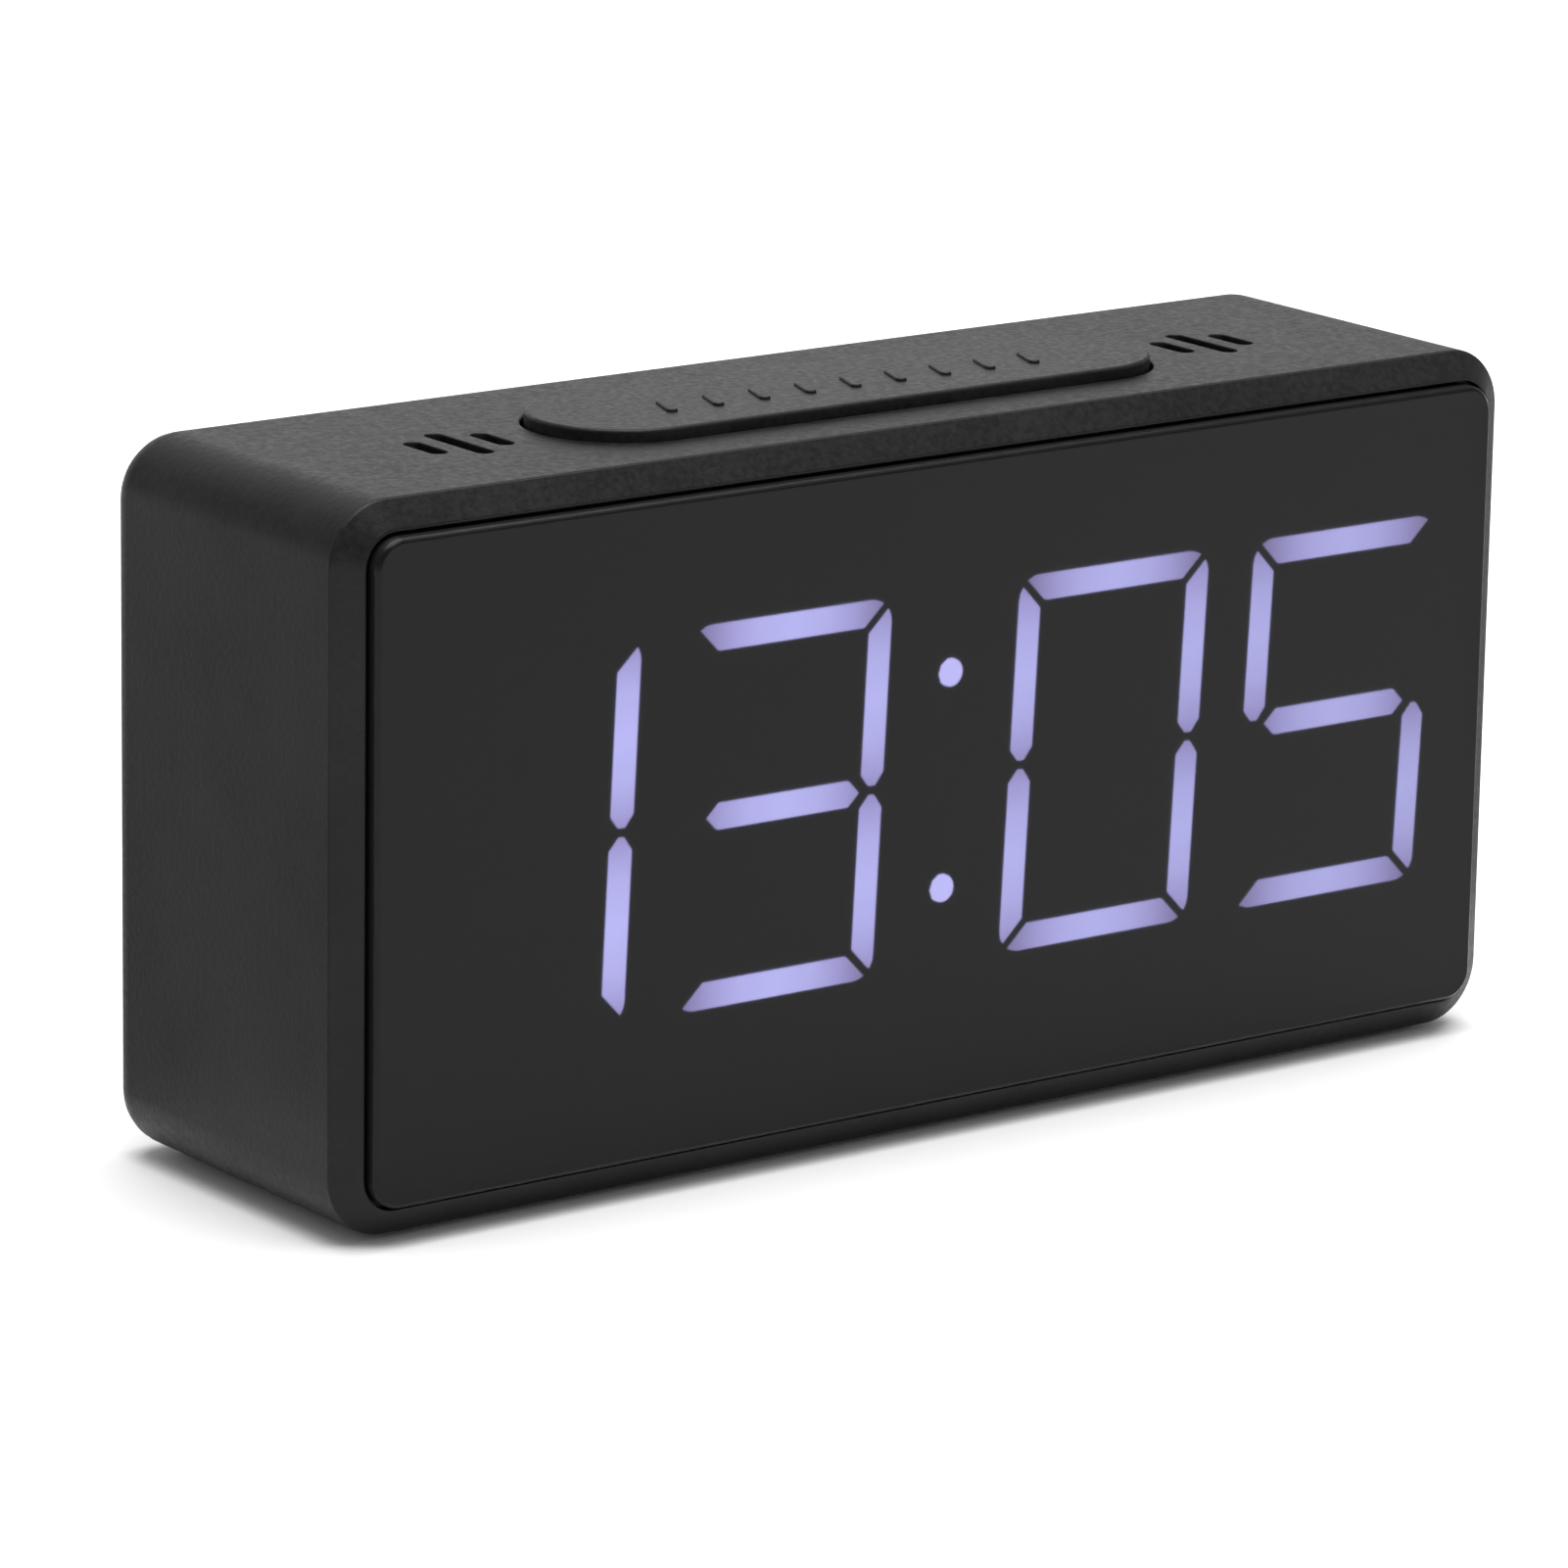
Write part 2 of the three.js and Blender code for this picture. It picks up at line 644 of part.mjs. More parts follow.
// The case: a box with a chamfered front, rounded back edges and a ledge for the lens
function caseShell() {
  const outside = solid(caseSlab([
    [front, CHAMFER_WIDTH], [front + CHAMFER_DEPTH, 0], ...rimLevels(back, BACK_FILLET, FILLET_STEPS)]));
  const pocket = solid(caseSlab([[front - OVERSHOOT, pocketInset], [ledgeFront, pocketInset]]));
  const window = solid(caseSlab([[ledgeFront - SINK, ledgeInset], [ledgeBack + SINK, ledgeInset]]));
  const cavity = solid(caseSlab([[ledgeBack, WALL], [back + OVERSHOOT, WALL]]));
  const hollow = cut(outside, pocket, window, cavity);
  const pillars = cornerSigns.map(([right, up]) => solid(
    rodAlongY(PILLAR_RADIUS, ledgeBack - SINK, coverFront, ROUND_SIDES)
      .translate(right * pillarX, 0, up * pillarZ)));
  const blocks = cornerSigns.map(([right, up]) => {
    const x = [right * blockX - BLOCK_WIDTH / 2, right * blockX + BLOCK_WIDTH / 2];
    const z = [up * blockStart, up * (cavityZ + SINK)].sort((a, b) => a - b);
    return solid(block(x, [ledgeBack - SINK, boardFront], z));
  });
  const tools = [...pillarBores(), ...blockBores(), ...topSlots(), ...footRecesses(), barHole()];
  return geometryOf(cut(joined(hollow, ...pillars, ...blocks), ...tools));
}

function pillarBores() {
  const end = coverFront - COVER_SCREW.length;
  return cornerSigns.map(([right, up]) => solid(
    rodAlongY(COVER_SCREW.shank + BORE_CLEARANCE, end, coverFront + OVERSHOOT, SMALL_SIDES)
      .translate(right * pillarX, 0, up * pillarZ)));
}

function blockBores() {
  const end = boardBack - BOARD_SCREW.length - SEAT_GAP;
  return cornerSigns.map(([right, up]) => solid(
    rodAlongY(BOARD_SCREW.shank + BORE_CLEARANCE, end, boardFront + OVERSHOOT, SMALL_SIDES)
      .translate(right * blockX, 0, up * boardScrewZ)));
}

function topSlots() {
  return sides.flatMap((right) => [-1, 0, 1].map((step) => {
    const length = step === 0 ? SLOT_LONG : SLOT_SHORT;
    const x = right * SLOT_X + step * SLOT_PITCH;
    const levels = [cavityZ - OVERSHOOT, halfHeight + OVERSHOOT].map((z) =>
      [z, SLOT_WIDTH, length, SLOT_WIDTH / 2]);
    return solid(slabAlongZ(levels, x, barY, SMALL_STEPS));
  }));
}

function barHole() {
  const width = BAR_WIDTH + 2 * BAR_CLEARANCE;
  const length = BAR_LENGTH + 2 * BAR_CLEARANCE;
  const levels = [cavityZ - OVERSHOOT, halfHeight + OVERSHOOT].map((z) => [z, length, width, width / 2]);
  return solid(slabAlongZ(levels, 0, barY, STADIUM_STEPS));
}

function footPlaces() {
  return [front + FOOT_FRONT_SETBACK, back - FOOT_BACK_SETBACK].flatMap((y) =>
    sides.map((right) => [right * footX, y]));
}

function footRecesses() {
  const top = tableTop + FOOT_HEIGHT;
  return footPlaces().map(([x, y]) => solid(
    rodAlongZ(FOOT_RADIUS + SEAT_GAP, tableTop - OVERSHOOT, top, ROUND_SIDES).translate(x, y, 0)));
}

function foot() {
  return rodAlongZ(FOOT_RADIUS, 0, FOOT_HEIGHT, ROUND_SIDES);
}

// The lens, which stands a little proud of the case, with a fine bevel round its front
function frontLens() {
  const bevel = [[lensFront, lensInset + LENS_BEVEL], [lensFront + LENS_BEVEL, lensInset]];
  return caseSlab([...bevel, [lensBack, lensInset]]);
}

function lensTape() {
  const ring = caseSlab([[lensBack, tapeInset], [ledgeFront, tapeInset]]);
  const opening = caseSlab([[lensBack - OVERSHOOT, ledgeInset], [ledgeFront + OVERSHOOT, ledgeInset]]);
  return geometryOf(cut(solid(ring), solid(opening)));
}

// The black film behind the lens, with a clear window for each segment and dot
function segmentMask() {
  const [, width, height] = caseLevel(0, maskInset);
  const edge = [[-width, -height], [width, -height], [width, height], [-width, height]];
  return prismAlongY(withWindows(edge.map(([u, v]) => [u / 2, v / 2])), lensBack, maskBack);
}

// One milky sheet for each digit, whose pads fill the windows of the mask
function digitDiffuser(place) {
  const half = (digitPitch - WEB_CLEARANCE) / 2;
  const z = [DISPLAY_LIFT - webHalfHeight, DISPLAY_LIFT + webHalfHeight];
  const web = solid(block([place - half, place + half], [maskBack, diffuserBack], z));
  const pads = segments(PAD_CLEARANCE).map(({ points }) => solid(prismAlongY(
    shapeOf(points.map((point) => onDisplay(point, place))), lensBack, maskBack + SINK)));
  return geometryOf(joined(web, ...pads));
}

function colonDiffuser() {
  const half = innerDigit - digitPitch / 2;
  const z = [DISPLAY_LIFT - webHalfHeight, DISPLAY_LIFT + webHalfHeight];
  const web = solid(block([-half, half], [maskBack, diffuserBack], z));
  const pads = dotPlaces().map((place) => solid(prismAlongY(
    shapeOf(dotOutline(place, PAD_CLEARANCE)), lensBack, maskBack + SINK)));
  return geometryOf(joined(web, ...pads));
}

// The white block that keeps the light of each segment to itself
function lightBox() {
  const edge = [[-1, -1], [1, -1], [1, 1], [-1, 1]].map(([right, up]) => [
    right * lightBoxHalf,
    DISPLAY_LIFT + up * lightBoxHalfHeight,
  ]);
  return prismAlongY(withWindows(edge), diffuserBack, boardFront);
}

// The display board: notched round the pillars, with a light-emitting diode in each cell
function displayBoard() {
  const notchX = pillarX - PILLAR_RADIUS - SEAT_GAP;
  const notchZ = pillarZ - PILLAR_RADIUS - SEAT_GAP;
  const tall = solid(block(
    [-notchX, notchX], [boardFront, boardBack], [-boardHalfHeight, boardHalfHeight]));
  const wide = solid(block([-boardHalf, boardHalf], [boardFront, boardBack], [-notchZ, notchZ]));
  const diodes = digitPlaces.flatMap((place) => segments(0).map(({ middle, upright }) => {
    const [x, z] = onDisplay(middle, place);
    return solid(upright ? diode(x, z, LED_WIDTH, LED_LENGTH) : diode(x, z, LED_LENGTH, LED_WIDTH));
  }));
  const dots = dotPlaces().map(([x, z]) => solid(diode(x, z, LED_WIDTH, LED_WIDTH)));
  const bore = BOARD_SCREW.shank + BORE_CLEARANCE;
  const holes = cornerSigns.map(([right, up]) => solid(
    rodAlongY(bore, boardFront - OVERSHOOT, boardBack + OVERSHOOT, SMALL_SIDES)
      .translate(right * blockX, 0, up * boardScrewZ)));
  return geometryOf(cut(joined(tall, wide, ...diodes, ...dots), ...holes));
}

function diode(x, z, width, height) {
  return block(
    [x - width / 2, x + width / 2],
    [boardFront - LED_HEIGHT, boardFront + SINK],
    [z - height / 2, z + height / 2]);
}

// The clock chip lies on the board's back, with a row of leads along each long side
function clockChip() {
  const top = boardBack + CHIP_HEIGHT;
  const body = solid(slabAlongY([
    [boardBack + CHIP_LEAD_THICKNESS / 2, CHIP_LENGTH, CHIP_WIDTH, SMALLEST_RADIUS],
    [top - SMALLEST_RADIUS, CHIP_LENGTH, CHIP_WIDTH, SMALLEST_RADIUS],
    [top, CHIP_LENGTH - 2 * SMALLEST_RADIUS, CHIP_WIDTH - 2 * SMALLEST_RADIUS, SMALLEST_RADIUS],
  ], -CHIP_SETOFF, 0, BEVEL_STEPS));
  const reach = CHIP_WIDTH / 2 + CHIP_LEAD_REACH;
  const leads = [];
  for (let i = 0; i < CHIP_LEADS; i += 1) {
    const x = -CHIP_SETOFF + (i - (CHIP_LEADS - 1) / 2) * CHIP_PITCH;
    leads.push(solid(block(
      [x - CHIP_LEAD_WIDTH / 2, x + CHIP_LEAD_WIDTH / 2],
      [boardBack, boardBack + CHIP_LEAD_THICKNESS], [-reach, reach])));
  }
  return geometryOf(joined(body, ...leads));
}

function crystal() {
  const levels = [
    [boardBack, CRYSTAL_LENGTH, CRYSTAL_WIDTH, CRYSTAL_WIDTH / 2],
    [boardBack + CRYSTAL_HEIGHT, CRYSTAL_LENGTH, CRYSTAL_WIDTH, CRYSTAL_WIDTH / 2],
  ];
  return slabAlongY(levels, 0, 0, SMALL_STEPS);
}

function capacitor() {
  const neck = CAPACITOR_RADIUS - CAPACITOR_GROOVE;
  const groove = [
    [CAPACITOR_RADIUS, CAPACITOR_GROOVE_RISE],
    [neck, CAPACITOR_GROOVE_RISE + CAPACITOR_GROOVE],
    [CAPACITOR_RADIUS, CAPACITOR_GROOVE_RISE + 2 * CAPACITOR_GROOVE],
  ];
  return turned([
    [0, 0], [CAPACITOR_RADIUS, 0], ...groove, [CAPACITOR_RADIUS, CAPACITOR_HEIGHT], [0, CAPACITOR_HEIGHT],
  ], SMALL_SIDES);
}

function buzzer() {
  return turned([
    [0, 0], [BUZZER_RADIUS, 0], [BUZZER_RADIUS, BUZZER_HEIGHT], [BUZZER_HOLE, BUZZER_HEIGHT],
    [BUZZER_HOLE, BUZZER_HEIGHT - BUZZER_HOLE], [0, BUZZER_HEIGHT - BUZZER_HOLE],
  ], ROUND_SIDES);
}

// The snooze bar: a cap with round ends, the flange that keeps it in, and a boss over its switch
function snoozeBar() {
  const levels = [[flangeTop - SINK, 0], ...rimLevels(barTop, BAR_EDGE, RIM_STEPS)];
  const cap = solid(slabAlongZ(levels.map(([z, inset]) =>
    [z, BAR_LENGTH - 2 * inset, BAR_WIDTH - 2 * inset, BAR_WIDTH / 2 - inset]), 0, barY, STADIUM_STEPS));
  const reach = 2 * BAR_FLANGE_REACH;
  const flange = solid(slabAlongZ([flangeBottom, flangeTop].map((z) =>
    [z, BAR_LENGTH + reach, BAR_WIDTH + reach, (BAR_WIDTH + reach) / 2]), 0, barY, STADIUM_STEPS));
  const bossRadius = SNOOZE_SWITCH_DEPTH / 2 - SEAT_GAP;
  const boss = solid(rodAlongZ(bossRadius, bossBottom, flangeBottom + SINK, SMALL_SIDES)
    .translate(0, snoozeSwitchY, 0));
  return geometryOf(joined(cap, flange, boss, ...barMarks()));
}

// Raised marks for the fingertip, slanted alike, along the front half of the bar
function barMarks() {
  const y = barY - MARK_SETBACK;
  const marks = [];
  for (let i = 0; i < MARK_COUNT; i += 1) {
    const x = (i - (MARK_COUNT - 1) / 2) * MARK_PITCH;
    const levels = [barTop - SINK, barTop + MARK_HEIGHT].map((z) =>
      [z, MARK_WIDTH, MARK_LENGTH, MARK_WIDTH / 2]);
    marks.push(solid(slabAlongZ(levels, 0, 0, MARK_STEPS).rotateZ(-MARK_LEAN).translate(x, y, 0)));
  }
  return marks;
}

// The switch under the bar, with a well for its plunger
function snoozeSwitch() {
  const body = solid(block(
    [-SNOOZE_SWITCH_WIDTH / 2, SNOOZE_SWITCH_WIDTH / 2],
    [boardBack, boardBack + SNOOZE_SWITCH_DEPTH],
    [snoozeSwitchTop - SNOOZE_SWITCH_HEIGHT, snoozeSwitchTop]));
  const depth = PLUNGER_SINK + BAR_TRAVEL + SEAT_GAP;
  const well = solid(rodAlongZ(SNOOZE_PLUNGER_RADIUS + SEAT_GAP, snoozeSwitchTop - depth,
    snoozeSwitchTop + OVERSHOOT, SMALL_SIDES).translate(0, snoozeSwitchY, 0));
  return geometryOf(cut(body, well));
}

function snoozePlunger() {
  return rodAlongZ(SNOOZE_PLUNGER_RADIUS, snoozeSwitchTop - PLUNGER_SINK, bossBottom, SMALL_SIDES);
}

// The rear cover: a plate, the battery tub and the bosses for the button board
function rearCover() {
  const inset = WALL + COVER_GAP;
  const plate = solid(caseSlab([
    [coverFront, inset], [back - COVER_EDGE, inset], [back, inset + COVER_EDGE]]));
  const outer = tubHalf + TUB_WALL;
  const outerHeight = tubHalfHeight + TUB_WALL;
  const tub = solid(block([tubMiddle - outer, tubMiddle + outer],
    [tubFloor - TUB_FLOOR, coverFront + SINK], [-outerHeight, outerHeight]));
  const bosses = sides.map((up) => solid(
    rodAlongY(BOSS_RADIUS, buttonBoardBack, coverFront + SINK, ROUND_SIDES)
      .translate(bossX, 0, up * BOSS_HALF_SPREAD)));
  const inside = solid(block([tubLeft, tubRight], [tubFloor, back], [-tubHalfHeight, tubHalfHeight]));
  const openHalf = tubHalf + TUB_LEDGE;
  const openHalfHeight = tubHalfHeight + TUB_LEDGE;
  const opening = solid(block([tubMiddle - openHalf, tubMiddle + openHalf],
    [coverFront, back + OVERSHOOT], [-openHalfHeight, openHalfHeight]));
  const tools = [inside, opening, ...coverHoles(), ...lugNotches(), ...tabSlits(), fingerScoop()];
  return geometryOf(cut(joined(plate, tub, ...bosses), ...tools));
}

function coverHoles() {
  const screws = cornerSigns.flatMap(([right, up]) => [
    rodAlongY(COVER_SCREW.shank + BORE_CLEARANCE, coverFront - OVERSHOOT, back + OVERSHOOT, SMALL_SIDES),
    rodAlongY(COVER_SCREW.head + HEAD_CLEARANCE, back - COVER_SCREW.headHeight - HEAD_SINK,
      back + OVERSHOOT, ROUND_SIDES),
  ].map((hole) => solid(hole.translate(right * pillarX, 0, up * pillarZ))));
  const buttons = buttonHeights().map((z) => solid(
    rodAlongY(BUTTON_RADIUS + BUTTON_CLEARANCE, coverFront - OVERSHOOT, back + OVERSHOOT, ROUND_SIDES)
      .translate(columnX, 0, z)));
  const bore = BOARD_SCREW.shank + BORE_CLEARANCE;
  const bores = sides.map((up) => solid(
    rodAlongY(bore, buttonBoardBack - OVERSHOOT, coverFront - BOSS_FLOOR, SMALL_SIDES)
      .translate(bossX, 0, up * BOSS_HALF_SPREAD)));
  const inlet = [coverFront - OVERSHOOT, back + OVERSHOOT].map((y) => [
    y, USB_WIDTH + 2 * SEAT_GAP, USB_HEIGHT + 2 * SEAT_GAP, USB_HEIGHT / 2]);
  return [...screws, ...buttons, ...bores, solid(slabAlongY(inlet, usbX, -USB_DROP, SMALL_STEPS))];
}

// Notches through the tub's lower wall, which let the door's lugs reach behind the plate and turn
function lugNotches() {
  const swing = Math.hypot(DOOR_THICKNESS + COVER_GAP * 2 + LUG_THICKNESS, LUG_REACH);
  return lugPlaces().map((x) => solid(block(
    [x - LUG_WIDTH / 2 - SEAT_GAP, x + LUG_WIDTH / 2 + SEAT_GAP],
    [back - swing - SEAT_GAP, coverFront],
    [-doorHalfHeight - LUG_REACH - SEAT_GAP, -tubHalfHeight + SINK])));
}

function lugPlaces() {
  return sides.map((right) => tubMiddle + right * (doorHalf - LUG_INSET));
}

// A scoop over the door's upper edge, for a fingertip
function fingerScoop() {
  const height = 2 * SCOOP_REACH;
  return solid(slabAlongY([
    [back - SCOOP_DEPTH, SCOOP_LENGTH - SCOOP_DEPTH, height - SCOOP_DEPTH, SCOOP_REACH],
    [back + OVERSHOOT, SCOOP_LENGTH + SCOOP_DEPTH, height + SCOOP_DEPTH, SCOOP_REACH],
  ], tubMiddle, doorHalfHeight, CORNER_STEPS));
}

// The door: a plate that lies flush in the cover, hooked behind it by two lugs
function batteryDoor() {
  const plate = solid(slabAlongY([
    [doorFront, 2 * doorHalf, 2 * doorHalfHeight, SMALLEST_RADIUS],
    [back - COVER_EDGE / 2, 2 * doorHalf, 2 * doorHalfHeight, SMALLEST_RADIUS],
    [back, 2 * doorHalf - COVER_EDGE, 2 * doorHalfHeight - COVER_EDGE, SMALLEST_RADIUS],
  ], tubMiddle, 0, SMALL_STEPS));
  const lugTop = coverFront - COVER_GAP;
  const lugBottom = lugTop - LUG_THICKNESS;
  const low = -doorHalfHeight;
  const hook = [
    [doorFront + SINK, low], [lugTop, low], [lugTop, low - LUG_REACH], [lugBottom, low - LUG_REACH],
    [lugBottom, low + LUG_ROOT], [doorFront + SINK, low + LUG_ROOT],
  ];
  const lugs = lugPlaces().map((x) =>
    solid(prismAlongX(shapeOf(hook), x - LUG_WIDTH / 2, x + LUG_WIDTH / 2)));
  const ribs = [];
  for (let i = 0; i < RIB_COUNT; i += 1) {
    const z = doorHalfHeight - RIB_PITCH * (i + 1);
    const levels = [[back - SINK, 0], [back + RIB_HEIGHT, RIB_HEIGHT]].map(([y, inset]) =>
      [y, RIB_LENGTH - inset, RIB_WIDTH - inset, RIB_WIDTH / 2]);
    ribs.push(solid(slabAlongY(levels, tubMiddle, z, SMALL_STEPS)));
  }
  return geometryOf(joined(plate, ...lugs, ...ribs));
}

// One cell along X, from its flat end at 0 to its nub
function battery() {
  const shoulder = BATTERY_LENGTH - BATTERY_NUB;
  return turned([
    [0, 0], [batteryRadius - BATTERY_EDGE, 0], [batteryRadius, BATTERY_EDGE],
    [batteryRadius, shoulder - BATTERY_EDGE], [batteryRadius - BATTERY_EDGE, shoulder],
    [BATTERY_NUB_RADIUS, shoulder], [BATTERY_NUB_RADIUS, BATTERY_LENGTH], [0, BATTERY_LENGTH],
  ], ROUND_SIDES).rotateZ(-Math.PI / 2);
}

// The cells from the top down, turned about in turn. An end wall is [its place, the way to the cell]
function cells() {
  const [leftWall, rightWall] = [[tubLeft, 1], [tubRight, -1]];
  const list = [];
  for (let i = 0; i < BATTERY_COUNT; i += 1) {
    const turnedAbout = i % 2 === 1;
    list.push({
      height: ((BATTERY_COUNT - 1) / 2 - i) * batteryPitch,
      turnedAbout,
      start: turnedAbout ? tubRight - coilRoom : tubLeft + coilRoom,
      flatWall: turnedAbout ? rightWall : leftWall,
      nubWall: turnedAbout ? leftWall : rightWall,
    });
  }
  return list;
}

function endCells() {
  const list = cells();
  return [list[0], list[BATTERY_COUNT - 1]];
}

// Round wire along a path
function wireAlong(path, radius, steps) {
  const section = shapeOf(regularOutline([0, 0], radius, WIRE_SIDES));
  return new THREE.ExtrudeGeometry(section, { steps, bevelEnabled: false, extrudePath: path });
}

// A conical coil of round wire along X, which narrows from the contact plate to the cell
class ConicalCoil extends THREE.Curve {
  getPoint(t, target = new THREE.Vector3()) {
    const angle = t * SPRING_TURNS * 2 * Math.PI;
    const radius = SPRING_BASE_RADIUS + t * (SPRING_TIP_RADIUS - SPRING_BASE_RADIUS);
    const first = SPRING_WIRE / 2 - SPRING_SINK;
    const last = SPRING_LENGTH - SPRING_WIRE / 2;
    return target.set(first + t * (last - first), radius * Math.cos(angle), radius * Math.sin(angle));
  }
}

function coil() {
  return wireAlong(new ConicalCoil(), SPRING_WIRE / 2, SPRING_TURNS * SMALL_SIDES);
}

// The least gap between two turns of a coil, measured on points of its middle line
function coilGap() {
  const halfTurn = (SMALL_SIDES * MEASURE_STEPS) / 2;
  const points = new ConicalCoil().getPoints(2 * SPRING_TURNS * halfTurn);
  let least = Infinity;
  points.forEach((point, i) => {
    points.slice(i + halfTurn).forEach((other) => {
      least = Math.min(least, point.distanceTo(other));
    });
  });
  return least - SPRING_WIRE;
}

// A contact plate on an end wall of the tub, with a coil for each flat end and a dimple for each nub
function contactPlate([wall, inward], coilHeights, dimpleHeights) {
  const heights = [...coilHeights, ...dimpleHeights];
  const x = [wall, wall + inward * CONTACT_THICKNESS].sort((a, b) => a - b);
  const z = [Math.min(...heights) - CONTACT_HALF, Math.max(...heights) + CONTACT_HALF];
  const plate = solid(block(x, [batteryY - CONTACT_HALF, batteryY + CONTACT_HALF], z));
  const face = wall + inward * CONTACT_THICKNESS;
  const coils = coilHeights.map((height) => solid(
    (inward > 0 ? coil() : coil().rotateZ(Math.PI)).translate(face, batteryY, height)));
  const dimples = dimpleHeights.map((height) => {
    const bump = turned([
      [0, -SINK], [DIMPLE_RADIUS, -SINK], [DIMPLE_RADIUS, 0], [DIMPLE_RADIUS / 2, DIMPLE_HEIGHT],
      [0, DIMPLE_HEIGHT],
    ], SMALL_SIDES).rotateZ((-inward * Math.PI) / 2);
    return solid(bump.translate(face, batteryY, height));
  });
  return joined(plate, ...coils, ...dimples);
}

// Where the tab of an end contact passes out through a slit in the tub's wall
function tabSpan([wall, inward]) {
  const x = [wall - inward * (TUB_WALL + TAB_REACH), wall + inward * SINK].sort((a, b) => a - b);
  const y = [batteryY - TAB_DROP - TAB_WIDTH / 2, batteryY - TAB_DROP + TAB_WIDTH / 2];
  return { x, y };
}

function endContact(end, coilHeights, dimpleHeights, height) {
  const { x, y } = tabSpan(end);
  const tab = solid(block(x, y, [height - CONTACT_THICKNESS / 2, height + CONTACT_THICKNESS / 2]));
  return geometryOf(joined(contactPlate(end, coilHeights, dimpleHeights), tab));
}

// A bridge joins the flat end of one cell to the nub of the next
function bridgeContact(cell, next) {
  return geometryOf(contactPlate(cell.flatWall, [cell.height], [next.height]));
}

function tabSlits() {
  const [first, last] = endCells();
  return [[first.nubWall, first.height], [last.flatWall, last.height]].map(([end, height]) => {
    const { x, y } = tabSpan(end);
    const half = CONTACT_THICKNESS / 2 + SEAT_GAP;
    return solid(block(x, [y[0] - SEAT_GAP, y[1] + SEAT_GAP], [height - half, height + half]));
  });
}

// A screw along Y with a cross recess, its head's underside at 0 and its shank towards -Y
function screw({ head, headHeight, bevel, shank, length }) {
  const body = solid(turned([
    [0, -length], [shank, shank - length], [shank, 0], [head, 0],
    [head, headHeight - bevel], [head - bevel, headHeight], [0, headHeight],
  ], SMALL_SIDES));
  const depth = [headHeight - RECESS_DEPTH, headHeight + OVERSHOOT];
  const slot = [-RECESS_WIDTH / 2, RECESS_WIDTH / 2];
  const span = [-RECESS_SPAN, RECESS_SPAN];
  return geometryOf(cut(body, solid(block(span, depth, slot)), solid(block(slot, depth, span))));
}

// Buttons stand in one column, the first at the top
function buttonHeights() {
  return BUTTON_NAMES.map((name, i) => ((BUTTON_NAMES.length - 1) / 2 - i) * BUTTON_PITCH);
}

function button() {
  const top = back + BUTTON_PROUD;
  return turned([
    [0, buttonFlangeBottom], [BUTTON_FLANGE_RADIUS, buttonFlangeBottom],
    [BUTTON_FLANGE_RADIUS, buttonFlangeTop], [BUTTON_RADIUS, buttonFlangeTop],
    [BUTTON_RADIUS, top - BUTTON_EDGE], [BUTTON_RADIUS - BUTTON_EDGE, top], [0, top],
  ], ROUND_SIDES);
}

function buttonSwitch() {
  const half = SWITCH_SIZE / 2;
  const top = buttonBoardBack + SWITCH_HEIGHT;
  const body = solid(block([-half, half], [buttonBoardBack, top], [-half, half]));
  const depth = SWITCH_SINK + BUTTON_TRAVEL + SEAT_GAP;
  const well = rodAlongY(SWITCH_PLUNGER_RADIUS + SEAT_GAP, top - depth, top + OVERSHOOT, SMALL_SIDES);
  return geometryOf(cut(body, solid(well)));
}

function switchPlunger() {
  const low = buttonBoardBack + SWITCH_HEIGHT - SWITCH_SINK;
  return rodAlongY(SWITCH_PLUNGER_RADIUS, low, buttonFlangeBottom, SMALL_SIDES);
}

function buttonBoard() {
  const left = tubSide + TAB_REACH + SEAT_GAP;
  const right = usbX + USB_WIDTH / 2 + BOARD_EDGE;
  const plate = solid(block([left, right], [buttonBoardFront, buttonBoardBack],
    [-BUTTON_BOARD_HALF, BUTTON_BOARD_HALF]));
  const holes = sides.map((up) => solid(
    rodAlongY(BOARD_SCREW.shank + BORE_CLEARANCE, buttonBoardFront - OVERSHOOT,
      buttonBoardBack + OVERSHOOT, SMALL_SIDES).translate(bossX, 0, up * BOSS_HALF_SPREAD)));
  return geometryOf(cut(plate, ...holes));
}

// The power inlet: a steel shell round a tongue, open to the back
function usbSocket() {
  const level = (y, wall) => [y, USB_WIDTH - 2 * wall, USB_HEIGHT - 2 * wall, USB_CORNER];
  const floor = usbBack - USB_DEPTH;
  const shell = solid(slabAlongY([level(buttonBoardBack, 0), level(usbBack, 0)], 0, 0, SMALL_STEPS));
  const mouth = solid(slabAlongY(
    [level(floor, USB_WALL), level(usbBack + OVERSHOOT, USB_WALL)], 0, 0, SMALL_STEPS));
  const tongue = solid(block([-USB_TONGUE_WIDTH / 2, USB_TONGUE_WIDTH / 2],
    [floor - SINK, usbBack - SEAT_GAP], [-USB_TONGUE / 2, USB_TONGUE / 2]));
  return geometryOf(joined(cut(shell, mouth), tongue));
}

// The flat ribbon sags in one curve from the display board to the button board
function ribbonCable() {
  const run = buttonBoardFront - boardBack;
  const edge = [];
  for (let i = 0; i <= RIBBON_STEPS; i += 1) {
    const t = i / RIBBON_STEPS;
    edge.push([boardBack + t * run, -RIBBON_DROP - RIBBON_SAG * Math.sin(t * Math.PI)]);
  }
  const other = edge.map(([y, z]) => [y, z - RIBBON_THICKNESS]).reverse();
  const shape = shapeOf([...edge, ...other]);
  return prismAlongX(shape, columnX - RIBBON_WIDTH / 2, columnX + RIBBON_WIDTH / 2);
}

function lead(points) {
  const path = new THREE.CatmullRomCurve3(points.map(([x, y, z]) => new THREE.Vector3(x, y, z)));
  return wireAlong(path, LEAD_RADIUS, points.length * LEAD_STEPS);
}

